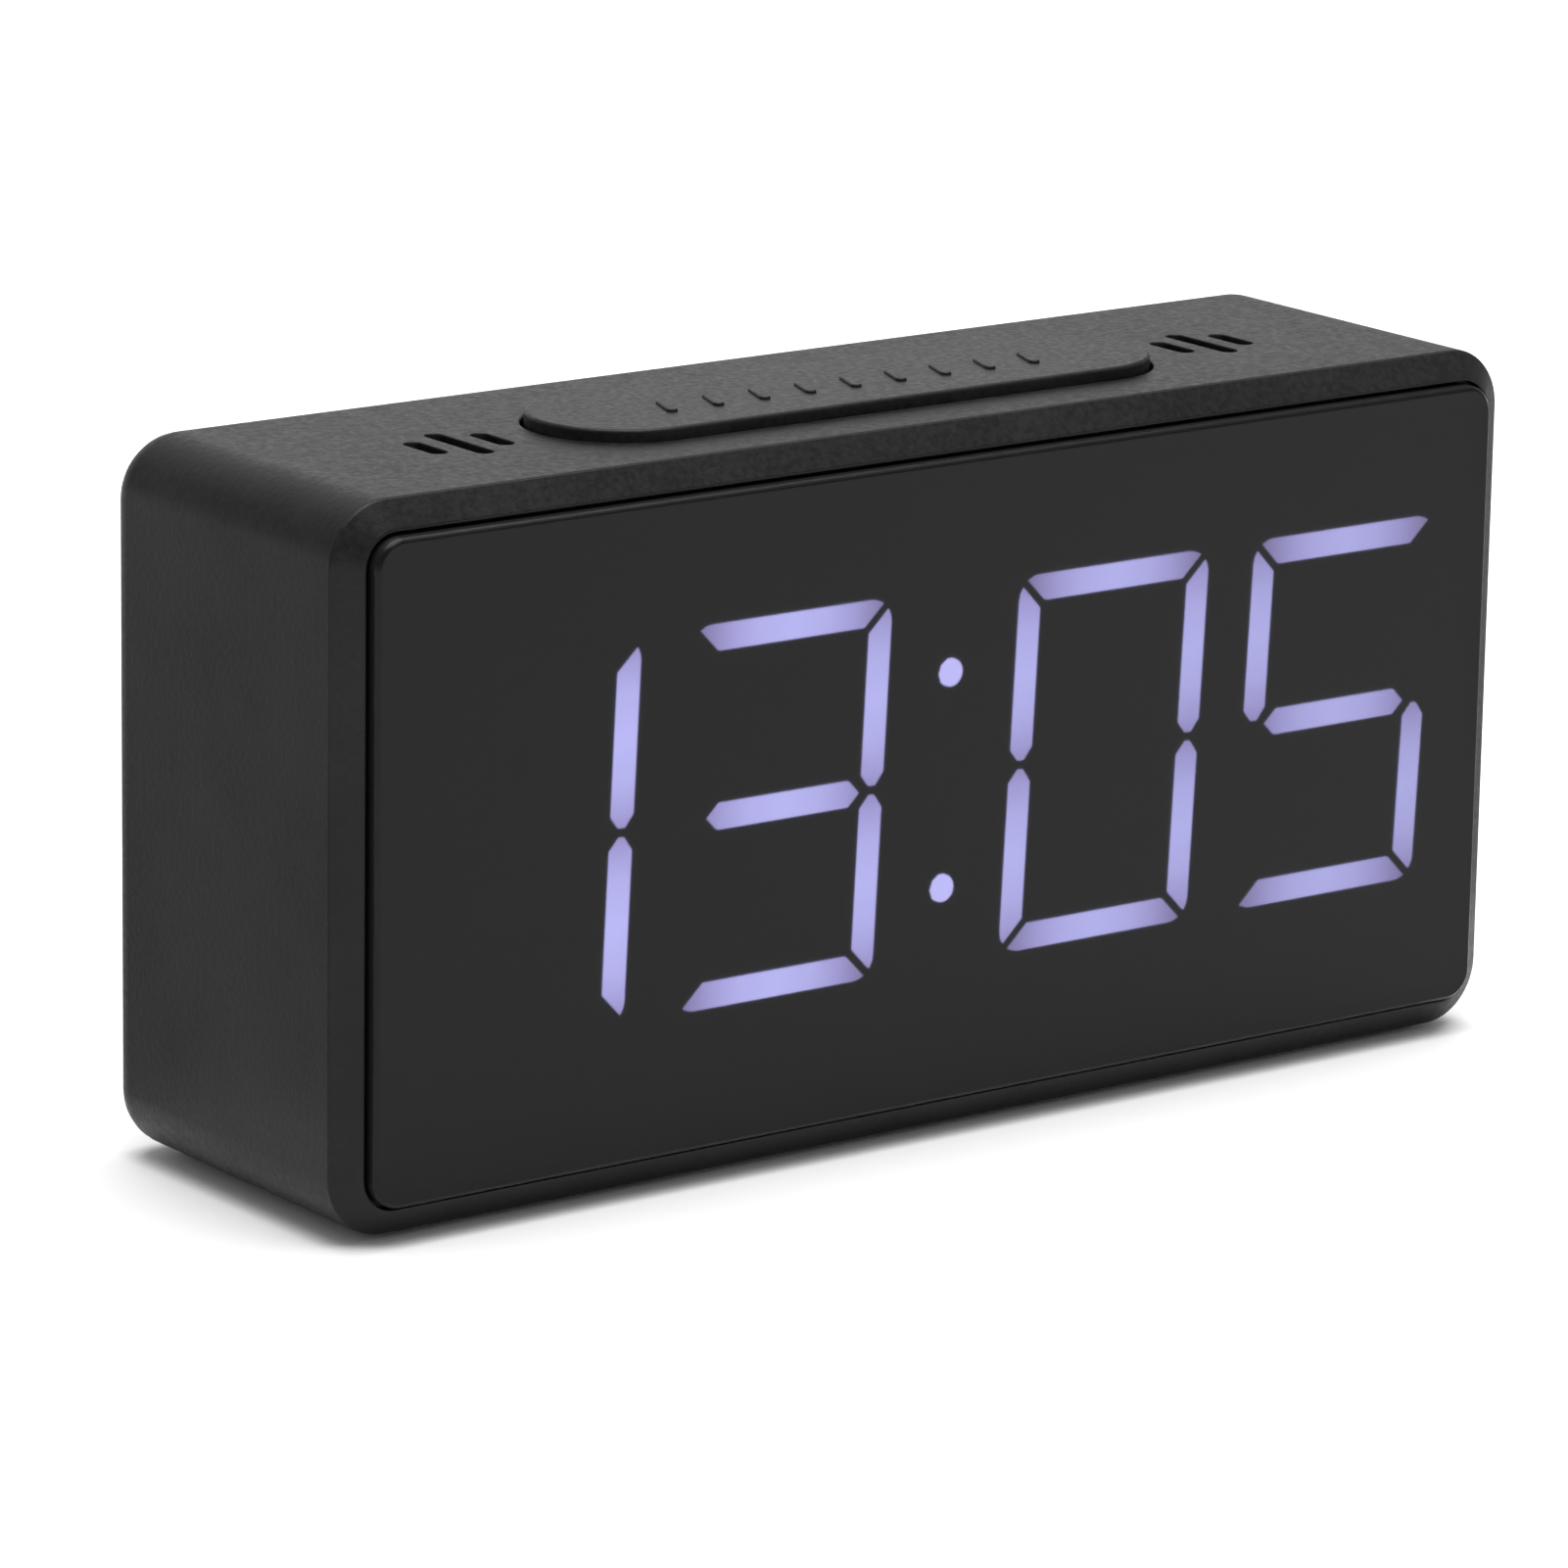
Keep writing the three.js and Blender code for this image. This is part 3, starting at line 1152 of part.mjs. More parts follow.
// Each lead leaves the edge of its tab and ends at the front of the button board
function positiveLead() {
  const [{ height, nubWall }] = endCells();
  const { x, y } = tabSpan(nubWall);
  const start = x[1] - 2 * LEAD_RADIUS;
  const end = start + LEAD_SPAN;
  return lead([
    [start, y[0] - SEAT_GAP, height], [start, y[0] - LEAD_BEND, height],
    [(start + end) / 2, y[0] - 2 * LEAD_BEND, height], [end, y[0] - LEAD_BEND, height],
    [end, buttonBoardFront - SEAT_GAP, height],
  ]);
}

// The other lead passes between the tub's floor and the display board
function negativeLead() {
  const [, { height, flatWall }] = endCells();
  const { x, y } = tabSpan(flatWall);
  const start = x[0] + 2 * LEAD_RADIUS;
  const low = (boardBack + tubFloor - TUB_FLOOR) / 2;
  const end = tubSide + LEAD_END_SETBACK;
  return lead([
    [start, y[0] - SEAT_GAP, height], [start, y[0] - LEAD_BEND, height],
    [start, low + LEAD_BEND, height], [tubLeft, low, height],
    [(tubLeft + tubMiddle) / 2, low, height], [tubMiddle, low, height],
    [(tubRight + tubMiddle) / 2, low, height], [tubRight, low, height],
    [tubSide + LEAD_BEND, low + LEAD_BEND, height], [end, (low + buttonBoardFront) / 2, height],
    [end, buttonBoardFront - SEAT_GAP, height],
  ]);
}

const clock = new THREE.Group();
clock.position.z = FOOT_PROUD + halfHeight;

addPart(clock, "case_shell", caseShell(), BLACK_SHELL);
footPlaces().forEach((place, i) => {
  addPart(clock, `foot_${i + 1}`, foot(), BLACK_RUBBER, [...place, tableTop]);
});

const display = new THREE.Group();
clock.add(display);
addPart(display, "front_lens", frontLens(), SMOKED_ACRYLIC);
addPart(display, "lens_tape", lensTape(), BLACK_TAPE);
addPart(display, "segment_mask", segmentMask(), BLACK_FILM);
digitPlaces.forEach((place, i) => {
  addPart(display, `digit_diffuser_${i + 1}`, digitDiffuser(place), MILKY_DIFFUSER);
});
addPart(display, "colon_diffuser", colonDiffuser(), MILKY_DIFFUSER);
addPart(display, "light_box", lightBox(), WHITE_REFLECTOR);
addPart(display, "display_board", displayBoard(), GREEN_BOARD);
addPart(display, "clock_chip", clockChip(), CHIP_BLACK);
addPart(display, "crystal", crystal(), CAN_ALUMINIUM, [columnX, 0, 0]);
addPart(display, "capacitor", capacitor(), CAN_ALUMINIUM,
  [columnX, boardBack, CRYSTAL_WIDTH + CAPACITOR_RADIUS]);
addPart(display, "buzzer", buzzer(), SWITCH_BLACK,
  [buzzerX, boardBack, blockStart - BUZZER_RADIUS - BUZZER_CLEARANCE]);
cornerSigns.forEach(([right, up], i) => {
  addPart(display, `board_screw_${i + 1}`, screw(BOARD_SCREW), BRIGHT_STEEL,
    [right * blockX, boardBack, up * boardScrewZ]);
});

const snooze = new THREE.Group();
clock.add(snooze);
addPart(snooze, "snooze_bar", snoozeBar(), BLACK_SHELL);
addPart(snooze, "snooze_plunger", snoozePlunger(), PLUNGER_IVORY, [0, snoozeSwitchY, 0]);
addPart(snooze, "snooze_switch", snoozeSwitch(), SWITCH_BLACK);

const rear = new THREE.Group();
clock.add(rear);
addPart(rear, "rear_cover", rearCover(), BLACK_COVER);
addPart(rear, "battery_door", batteryDoor(), BLACK_COVER);
cornerSigns.forEach(([right, up], i) => {
  addPart(rear, `cover_screw_${i + 1}`, screw(COVER_SCREW), BRIGHT_STEEL,
    [right * pillarX, back - COVER_SCREW.headHeight - HEAD_SINK, up * pillarZ]);
});

const batteries = new THREE.Group();
rear.add(batteries);
cells().forEach(({ height, turnedAbout, start }, i) => {
  const mesh = addPart(batteries, `battery_${i + 1}`, battery(), BATTERY_SLEEVE,
    [start, batteryY, height]);
  mesh.rotation.z = turnedAbout ? Math.PI : 0;
});
const [firstCell, lastCell] = endCells();
addPart(batteries, "contact_positive",
  endContact(firstCell.nubWall, [], [firstCell.height], firstCell.height), NICKEL_STRIP);
addPart(batteries, "contact_negative",
  endContact(lastCell.flatWall, [lastCell.height], [], lastCell.height), NICKEL_STRIP);
cells().slice(1).forEach((cell, i) => {
  addPart(batteries, `contact_bridge_${i + 1}`, bridgeContact(cells()[i], cell), NICKEL_STRIP);
});
addPart(batteries, "battery_lead_positive", positiveLead(), RED_WIRE);
addPart(batteries, "battery_lead_negative", negativeLead(), BLACK_WIRE);

const controls = new THREE.Group();
controls.position.x = columnX;
rear.add(controls);
buttonHeights().forEach((height, i) => {
  const name = BUTTON_NAMES[i];
  addPart(controls, `${name}_button`, button(), BLACK_COVER, [0, 0, height]);
  addPart(controls, `${name}_plunger`, switchPlunger(), PLUNGER_IVORY, [0, 0, height]);
  addPart(controls, `${name}_switch`, buttonSwitch(), SWITCH_BLACK, [0, 0, height]);
});
addPart(rear, "button_board", buttonBoard(), GREEN_BOARD);
sides.forEach((up, i) => {
  const mesh = addPart(rear, `button_board_screw_${i + 1}`, screw(BOARD_SCREW), BRIGHT_STEEL,
    [bossX, buttonBoardFront, up * BOSS_HALF_SPREAD]);
  mesh.rotation.z = Math.PI;
});
addPart(rear, "usb_socket", usbSocket(), BRIGHT_STEEL, [usbX, 0, -USB_DROP]);
addPart(rear, "ribbon_cable", ribbonCable(), RIBBON_GREY);

console.log(`least gap between two turns of a contact spring: ${coilGap().toFixed(2)} mm`);

const root = new THREE.Group();
root.add(clock);

export default root;
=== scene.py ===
# %% [markdown]
# # A digital alarm clock
#
# The clock is a slim case of moulded black plastic behind a smoked front. Its mechanical model is
# finished already: every piece has its place and size, and the moving ones have their joints. Here
# each piece gets the fine shape and the finish that it has in the hand: rounded rims, grain in the
# plastic, light behind the digits. The frame is loaded first, because everything is placed by it.

# %% Load the frame
import math
from itertools import accumulate

import bpy
from mathutils import Euler, Matrix, Quaternion, Vector


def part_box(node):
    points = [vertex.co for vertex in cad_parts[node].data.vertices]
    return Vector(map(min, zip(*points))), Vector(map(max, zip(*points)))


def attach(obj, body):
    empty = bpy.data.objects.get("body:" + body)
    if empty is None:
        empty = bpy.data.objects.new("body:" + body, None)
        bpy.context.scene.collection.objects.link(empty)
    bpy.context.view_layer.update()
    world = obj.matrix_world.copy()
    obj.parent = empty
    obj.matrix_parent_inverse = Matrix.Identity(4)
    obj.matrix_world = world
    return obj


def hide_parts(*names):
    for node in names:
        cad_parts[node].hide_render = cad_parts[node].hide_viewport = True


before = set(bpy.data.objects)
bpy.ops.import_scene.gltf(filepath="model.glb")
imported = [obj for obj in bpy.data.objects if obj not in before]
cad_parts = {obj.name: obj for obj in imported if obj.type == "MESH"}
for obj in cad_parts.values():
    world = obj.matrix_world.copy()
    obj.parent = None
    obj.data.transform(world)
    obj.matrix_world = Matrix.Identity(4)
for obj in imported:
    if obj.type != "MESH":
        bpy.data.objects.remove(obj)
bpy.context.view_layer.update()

# %% [markdown]
# ## Measures
#
# Sizes are written in millimetres, as on a drawing, and turned to metres where a tool takes them.
# The case stands on thin feet, so its middle height is a little over half of its own height. All
# pieces are placed from that middle, from the front face and from the back face.

# %% Measures of the case
MM = 0.001
HALF_WIDTH, HALF_HEIGHT = 50.0, 24.9
MIDDLE_Z = 25.4
FRONT, BACK = -14.1, 14.3
CASE_TOP, CASE_BOTTOM = MIDDLE_Z + HALF_HEIGHT, MIDDLE_Z - HALF_HEIGHT
CORNER_RADIUS = 4.4
CAVITY_INSET = 2.4
print("case:", 2 * HALF_WIDTH, "by", BACK - FRONT, "by", 2 * HALF_HEIGHT, "mm")

# %% [markdown]
# ## Shaping tools
#
# Most pieces of the clock are drawn as a flat face, which is then carried on: drawn in a little,
# moved on a little, as one pulls a shape in edit mode. A face with round corners begins as a plane
# whose corners are bevelled. Each step of a profile is one inset or one extrude of that face.

# %% Choosing objects, faces and edges
TURNS = {"-Y": (90, 0), "+Y": (-90, 0), "+Z": (0, 0), "-Z": (180, 0), "+X": (0, 90), "-X": (0, -90)}
# A face looks a way if the cosine between its normal and that way is above this
SAME_WAY = 0.9


def turn_of(facing):
    """The turn that makes a flat plane face one of the six ways."""
    return [math.radians(angle) for angle in (*TURNS[facing], 0)]


def way_of(facing):
    """One of the six ways as a direction."""
    return Euler(turn_of(facing)).to_matrix() @ Vector((0, 0, 1))


def only(piece):
    """Leaves one object selected and active, in object mode."""
    if bpy.context.object and bpy.context.object.mode == "EDIT":
        bpy.ops.object.mode_set(mode="OBJECT")
    bpy.ops.object.select_all(action="DESELECT")
    piece.select_set(True)
    bpy.context.view_layer.objects.active = piece


def open_up(piece):
    """Opens a piece for editing, with all of its mesh selected."""
    only(piece)
    bpy.ops.object.mode_set(mode="EDIT")
    bpy.ops.mesh.select_all(action="SELECT")


def select_parts(mode, kind, test):
    """Selects those faces, edges or points of the open mesh that pass the test."""
    bpy.ops.mesh.select_mode(type=mode)
    bpy.ops.mesh.select_all(action="DESELECT")
    bpy.ops.object.mode_set(mode="OBJECT")
    mesh = bpy.context.object.data
    for part in getattr(mesh, kind):
        part.select = bool(test(mesh, part))
    bpy.ops.object.mode_set(mode="EDIT")


def select_faces(test):
    """Selects the faces whose centre, in mm, and normal pass the test."""
    select_parts("FACE", "polygons", lambda mesh, face: test(face.center / MM, face.normal))


def select_edges(test):
    """Selects the edges whose two ends, in mm, pass the test."""
    select_parts("EDGE", "edges", lambda mesh, edge: test(
        *(mesh.vertices[i].co / MM for i in edge.vertices)))


def select_points(test):
    """Selects the points whose place, in mm, passes the test."""
    select_parts("VERT", "vertices", lambda mesh, point: test(point.co / MM))


# %% Starting a face
def open_new(name):
    """Names a new primitive, puts its place in its mesh and opens it for editing."""
    piece = bpy.context.object
    piece.name = name
    bpy.ops.object.transform_apply(location=True, rotation=True, scale=True)
    bpy.ops.object.mode_set(mode="EDIT")
    bpy.ops.mesh.select_all(action="SELECT")
    return piece


def start_face(name, centre, size, facing, radius=0.0, segments=10):
    """A flat face with round corners, at its size and place in mm, open for editing."""
    bpy.ops.mesh.primitive_plane_add(
        size=1, location=[c * MM for c in centre], rotation=turn_of(facing))
    bpy.context.object.scale = (size[0] * MM, size[1] * MM, 1)
    piece = open_new(name)
    if radius:
        bpy.ops.mesh.bevel(offset=radius * MM, affect="VERTICES", segments=segments)
        bpy.ops.mesh.select_all(action="SELECT")
    return piece


def start_disc(name, centre, radius, facing, sides=48):
    """A round face, at its size and place in mm, open for editing."""
    bpy.ops.mesh.primitive_circle_add(
        vertices=sides, radius=radius * MM, fill_type="NGON",
        location=[c * MM for c in centre], rotation=turn_of(facing))
    return open_new(name)


# %% Carrying a face on
def selected_way():
    """The direction that the selected face looks in."""
    bpy.ops.object.mode_set(mode="OBJECT")
    way = next(face.normal.copy() for face in bpy.context.object.data.polygons if face.select)
    bpy.ops.object.mode_set(mode="EDIT")
    return way


def move_on(distance):
    """Extrudes the selected face along its own direction, in mm."""
    move = selected_way() * distance * MM
    bpy.ops.mesh.extrude_region_move(TRANSFORM_OT_translate={"value": move})


def carry_on(steps):
    """Takes the selected face through steps of (drawn in, moved on), in mm."""
    for drawn_in, moved_on in steps:
        if drawn_in:
            bpy.ops.mesh.inset(thickness=drawn_in * MM, depth=moved_on * MM)
        else:
            move_on(moved_on)


def widen(facing, centre, size, wider):
    """Widens the selected face from one size to another, about a centre, all in mm."""
    u, v = (b / a for a, b in zip(size, wider))
    value = {"Y": (u, 1, v), "Z": (u, v, 1), "X": (1, v, u)}[facing[1]]
    bpy.ops.transform.resize(value=value, center_override=[c * MM for c in centre])


def thicken(depth):
    """Makes a solid of the open flat face, which grows by its depth in mm behind the face."""
    move_on(-depth)
    bpy.ops.mesh.select_all(action="SELECT")
    bpy.ops.mesh.normals_make_consistent(inside=False)


def round_over(radius, turn=90, steps=4):
    """Steps that round a rim over by a radius, as far as a turn in degrees."""
    angles = [math.radians(turn) * i / steps for i in range(steps + 1)]
    places = [(radius * (1 - math.cos(a)), radius * math.sin(a)) for a in angles]
    return [(b[0] - a[0], b[1] - a[1]) for a, b in zip(places, places[1:])]


# %% Plain solids
def around(centre, half):
    """The two ends of a span that reaches equally far to both sides of its centre."""
    return (centre - half, centre + half)


def block(name, x, y, z):
    """A block between two ends along each axis, mostly a tool for cutting."""
    centre = [sum(span) / 2 for span in (x, y, z)]
    bpy.ops.mesh.primitive_cube_add(size=1, location=[c * MM for c in centre])
    bpy.context.object.scale = [abs(span[1] - span[0]) * MM for span in (x, y, z)]
    piece = open_new(name)
    only(piece)
    return piece


def slab(name, centre, size, facing, depth, radius=0.0, rim=(), segments=10):
    """A plate whose foremost point lies at the centre, and whose rim follows some steps."""
    back = max(accumulate([0, *(step[1] for step in rim)]))
    start = Vector(centre) - way_of(facing) * back
    if radius is None:
        piece = start_disc(name, start, size[0] / 2, facing, 4 * segments)
    else:
        piece = start_face(name, start, size, facing, radius, segments)
    thicken(depth - back)
    if rim:
        select_faces(lambda place, way: way.dot(way_of(facing)) > SAME_WAY)
        carry_on(rim)
    only(piece)
    return piece


def rod(name, centre, radius, facing, depth, rim=(), sides=48):
    """A rod whose end lies at the centre, and which grows behind it."""
    return slab(name, centre, (2 * radius, 2 * radius), facing, depth, None, rim, sides // 4)


# A tool for cutting reaches this far past the surface it starts on
OVERSHOOT = 1.0


def drill(name, centre, size, facing, depth, radius=None, mouth=0.0, segments=10):
    """A tool for a hole that starts on a surface, with a mouth that is rounded over."""
    way = way_of(facing)
    piece = slab(name, Vector(centre) - way * mouth, size, facing, depth - mouth, radius, (), segments)
    open_up(piece)
    select_faces(lambda place, face_way: face_way.dot(way) > SAME_WAY)
    wide = list(size)
    for drawn_in, moved_on in round_over(mouth, steps=3) if mouth else ():
        move_on(moved_on)
        wider = [side + 2 * drawn_in for side in wide]
        widen(facing, centre, wide, wider)
        wide = wider
    move_on(OVERSHOOT)
    only(piece)
    return piece


def bore(centre, diameter, facing, depth, mouth=0.0, segments=10):
    """A tool for a round hole that starts on a surface."""
    return drill("bore", centre, (diameter, diameter), facing, depth, None, mouth, segments)


# %% Cutting, joining and copying
def combine(piece, other, operation):
    """Cuts another solid out of the piece, or joins it on, and takes the other away."""
    only(piece)
    bpy.ops.object.modifier_add(type="BOOLEAN")
    modifier = piece.modifiers[-1]
    modifier.operation = operation
    modifier.solver = "EXACT"
    modifier.object = other
    bpy.ops.object.modifier_apply(modifier=modifier.name)
    bpy.data.objects.remove(other, do_unlink=True)


def cut(piece, *tools):
    """Cuts tools out of a piece."""
    for tool in tools:
        combine(piece, tool, "DIFFERENCE")
    return piece


def join_on(piece, *others):
    """Joins other solids on a piece."""
    for other in others:
        combine(piece, other, "UNION")
    return piece


def copy_to(piece, name, move=(0, 0, 0), turn=(0, 0, 0), scale=(1, 1, 1)):
    """A copy with a mesh of its own, turned, mirrored or moved, in mm and degrees."""
    only(piece)
    bpy.ops.object.duplicate()
    copy = bpy.context.object
    copy.name = name
    copy.scale = scale
    copy.rotation_euler = [math.radians(angle) for angle in turn]
    copy.location = [c * MM for c in move]
    bpy.ops.object.transform_apply(location=True, rotation=True, scale=True)
    return copy


def remove(*pieces):
    """Takes away patterns whose copies are all in place."""
    for piece in pieces:
        bpy.data.objects.remove(piece, do_unlink=True)


# %% Closing a piece
# Points that a cut leaves double lie nearer to each other than this, in mm
DOUBLE = 0.002


def weld(distance):
    """Merges points of the open mesh that lie within a distance in mm, and turns faces outwards."""
    bpy.ops.mesh.select_all(action="SELECT")
    bpy.ops.mesh.remove_doubles(threshold=distance * MM)
    bpy.ops.mesh.normals_make_consistent(inside=False)


def close_up(piece):
    """Merges doubles, turns faces outwards and shades round parts smooth and flats flat."""
    open_up(piece)
    weld(DOUBLE)
    only(piece)
    bpy.ops.object.shade_smooth_by_angle(angle=math.radians(35))
    bpy.ops.object.modifier_add(type="WEIGHTED_NORMAL")
    piece.modifiers[-1].keep_sharp = True
    bpy.ops.object.modifier_apply(modifier=piece.modifiers[-1].name)


def dress(piece, material, slot, body, *nodes):
    """Gives a closed piece its finish, and the body that it moves with."""
    if not piece.data.materials:
        piece.data.materials.append(material)
    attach(piece, body)
    if nodes:
        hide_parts(*nodes)
    print(piece.name, len(piece.data.polygons), "faces")


def close_and_dress(piece, *finish):
    """Closes a piece, then dresses it."""
    close_up(piece)
    dress(piece, *finish)


# %% [markdown]
# ## Materials of the case and the front
#
# Each finish starts from what the thing is made of and how it was shaped. A mould for black housings
# is spark-eroded, so the plastic comes out with a fine grain. The grain changes both height and
# gloss, and a slow drift of tone lies over it, which keeps it from looking like paint on a screen.

# %% Colours and nodes
def srgb(code):
    """A colour written as sRGB hex, made linear for the shader."""
    values = [int(code[i:i + 2], 16) / 255 for i in (1, 3, 5)]
    return [v / 12.92 if v <= 0.04045 else ((v + 0.055) / 1.055) ** 2.4 for v in values] + [1.0]


def add_node(tree, kind, inputs, **settings):
    """Adds a node. An input that is a tuple is a link: a node and the name of its output."""
    node = tree.nodes.new(kind)
    for name, value in settings.items():
        setattr(node, name, value)
    for name, value in inputs.items():
        if isinstance(value, tuple):
            tree.links.new(value[0].outputs[value[1]], node.inputs[name])
        else:
            node.inputs[name].default_value = value
    return node


def link(tree, node, output, shader, name):
    """Links an output of a node to a socket of the shader."""
    tree.links.new(node.outputs[output], shader.inputs[name])


def new_material(name, **values):
    """A material with one Principled shader, whose sockets take the values given."""
    material = bpy.data.materials.new(name)
    material.use_nodes = True
    tree = material.node_tree
    shader = tree.nodes["Principled BSDF"]
    for socket, value in values.items():
        shader.inputs[socket.replace("_", " ")].default_value = value
    return material, tree, shader


# %% Grained finishes
# Real mould grain is 0.05 to 0.1 mm wide, too fine to show, so each grain here is drawn as coarse as
# it needs to show. The drift of tone that lies over it is this wide, in mm
DRIFT_WIDTH = 9.0
# Nearly all of the grain's noise lies between these, and of its product with the drift's noise
# between the next two
GRAIN_LOW, GRAIN_HIGH = 0.3, 0.7
DRIFT_LOW, DRIFT_HIGH = 0.14, 0.38


def grained(name, dark, light, roughness, grain, depth, **values):
    """A finish with a grain of a width and depth in mm, and a slow drift of tone over it."""
    material, tree, shader = new_material(name, **values)
    place = add_node(tree, "ShaderNodeTexCoord", {})
    fine = add_node(tree, "ShaderNodeTexNoise", {
        "Vector": (place, "Object"), "Scale": 1 / (grain * MM), "Detail": 2.0, "Roughness": 0.6})
    slow = add_node(tree, "ShaderNodeTexNoise", {
        "Vector": (place, "Object"), "Scale": 1 / (DRIFT_WIDTH * MM), "Detail": 3.0, "Roughness": 0.55})
    blend = add_node(tree, "ShaderNodeMath", {0: (fine, "Fac"), 1: (slow, "Fac")}, operation="MULTIPLY")
    spread = add_node(tree, "ShaderNodeMapRange", {
        "Value": (blend, "Value"), "From Min": DRIFT_LOW, "From Max": DRIFT_HIGH})
    tone = add_node(tree, "ShaderNodeMixRGB", {
        "Fac": (spread, "Result"), "Color1": srgb(dark), "Color2": srgb(light)})
    gloss = add_node(tree, "ShaderNodeMapRange", {
        "Value": (fine, "Fac"), "From Min": GRAIN_LOW, "From Max": GRAIN_HIGH,
        "To Min": roughness[0], "To Max": roughness[1]})
    bump = add_node(tree, "ShaderNodeBump", {
        "Height": (fine, "Fac"), "Strength": 1.0, "Distance": depth * MM})
    link(tree, tone, "Color", shader, "Base Color")
    link(tree, gloss, "Result", shader, "Roughness")
    link(tree, bump, "Normal", shader, "Normal")
    return material


# Charcoal ABS from a spark-eroded mould: dark and matte, with a fine even grain. The real grain is
# about 0.1 mm wide, too fine to show, and is drawn at 0.5 mm, as coarse as it needs to show
CASE_PLASTIC = grained("charcoal_abs_moulded", "#0b0b0c", "#19191b", (0.36, 0.51), 0.5, 0.025,
                       Specular_IOR_Level=0.22)

# The same ABS for the bar, whose own mould leaves it a shade lighter than the case round it
BAR_PLASTIC = grained("charcoal_abs_moulded_key", "#101011", "#1c1c1e", (0.36, 0.51), 0.5, 0.025,
                      Specular_IOR_Level=0.235)

# Smoked acrylic with an etched, anti-glare face: clear but dark, and lights in it spread to a soft
# veil. The index is below acrylic's 1.49, to mirror as little as the front in the photograph does
SMOKED_ACRYLIC, _, _ = new_material(
    "smoked_acrylic_etched", Base_Color=srgb("#3a393d"), Roughness=0.28, IOR=1.29,
    Transmission_Weight=1.0, Specular_IOR_Level=0.28)

# %% [markdown]
# ## The case
#
# The case is one moulding. Its outline is a rectangle with round corners, drawn once and carried
# back to form the sides, then drawn in over the back edge and carried forward again inside, which
# leaves a wall. At the front the same outline is drawn in for the chamfer and stepped down for the
# ledge that the lens lies on. An outline that is carried on gives even walls without any measuring.

# %% Outline, chamfer and ledge
# Points nearer to each other than this, in mm, are one
CLOSE = 0.01
CHAMFER_WIDTH, CHAMFER_DEPTH = 1.82, 1.31
RIM = 0.15
LEDGE_INSET, LEDGE_FRONT, LEDGE_BACK = 4.22, -13.1, -11.6
POCKET_INSET = CHAMFER_WIDTH + RIM
FILLET, FILLET_TURN = 2.67, 84.2

case_front = FRONT + CHAMFER_DEPTH
fillet_steps = round_over(FILLET, FILLET_TURN, 7)
fillet_start = BACK - sum(step[1] for step in fillet_steps)
case = start_face("case", (0, case_front, MIDDLE_Z), (2 * HALF_WIDTH, 2 * HALF_HEIGHT), "-Y",
                  CORNER_RADIUS, segments=16)
thicken(fillet_start - case_front)
select_faces(lambda place, way: way.y < -SAME_WAY)
carry_on([
    (CHAMFER_WIDTH, CHAMFER_DEPTH), (RIM, 0), (0, FRONT - LEDGE_FRONT),
    (LEDGE_INSET - POCKET_INSET, 0), (0, LEDGE_FRONT - LEDGE_BACK)])
bpy.ops.mesh.delete(type="FACE")
select_faces(lambda place, way: way.y > SAME_WAY)
carry_on([*fillet_steps, (0, LEDGE_BACK - BACK), (LEDGE_INSET - CAVITY_INSET, 0)])
bpy.ops.mesh.delete(type="FACE")
weld(CLOSE)
print("case shell:", len(case.data.polygons), "faces")

# %% Soften the edges of the chamfer
OUTER_SOFTENING, INNER_SOFTENING = 0.16, 0.06


def inset_of(point):
    """How far inside the case's outline a point lies, in mm."""
    u = abs(point.x) - (HALF_WIDTH - CORNER_RADIUS)
    v = abs(point.z - MIDDLE_Z) - (HALF_HEIGHT - CORNER_RADIUS)
    reach = math.hypot(u, v) if u > 0 and v > 0 else max(u, v)
    return CORNER_RADIUS - reach


def on_outline(inset, y):
    """A test for an edge of the outline that lies at an inset and a depth."""
    def test(*ends):
        return all(abs(end.y - y) < CLOSE and abs(inset_of(end) - inset) < 2 * CLOSE for end in ends)
    return test


select_edges(on_outline(0, case_front))
bpy.ops.mesh.bevel(offset=OUTER_SOFTENING * MM, segments=3, affect="EDGES")
select_edges(on_outline(CHAMFER_WIDTH, FRONT))
bpy.ops.mesh.bevel(offset=INNER_SOFTENING * MM, segments=2, affect="EDGES")
only(case)

# %% [markdown]
# ## Inside and through the case
#
# Four pillars take the screws of the rear cover and four blocks carry the display board. They are
# part of the moulding, so they are joined on as solids. The bar's opening and the slots are cut with
# tools whose mouths flare, because a moulded opening has a slightly rounded rim, and that rim is
# what catches the light. A bevel after the cut would do as well, but it fails on crossed edges.

# %% Pillars and blocks
# Solids that are joined reach this far into each other
OVERLAP = 0.05
COVER_FRONT, COVER_BORE = 12.3, 2.9
PILLAR_X, PILLAR_Z, PILLAR_RADIUS, PILLAR_BORE_DEPTH = 44.9, 19.8, 3.3, 9
BOARD, BOARD_BORE, POST_BORE_DEPTH = 1.6, 2.4, 3.9
POST_HALF, POST_BELOW_SCREW = 3.5, 2.2
# The rounding at the mouth of a bore that a screw goes into
BORE_MOUTH = 0.1
CORNERS = [(-1, -1), (1, -1), (-1, 1), (1, 1)]


def box_of(node):
    """The lowest and the highest corner of a CAD node, in mm."""
    return [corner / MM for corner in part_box(node)]


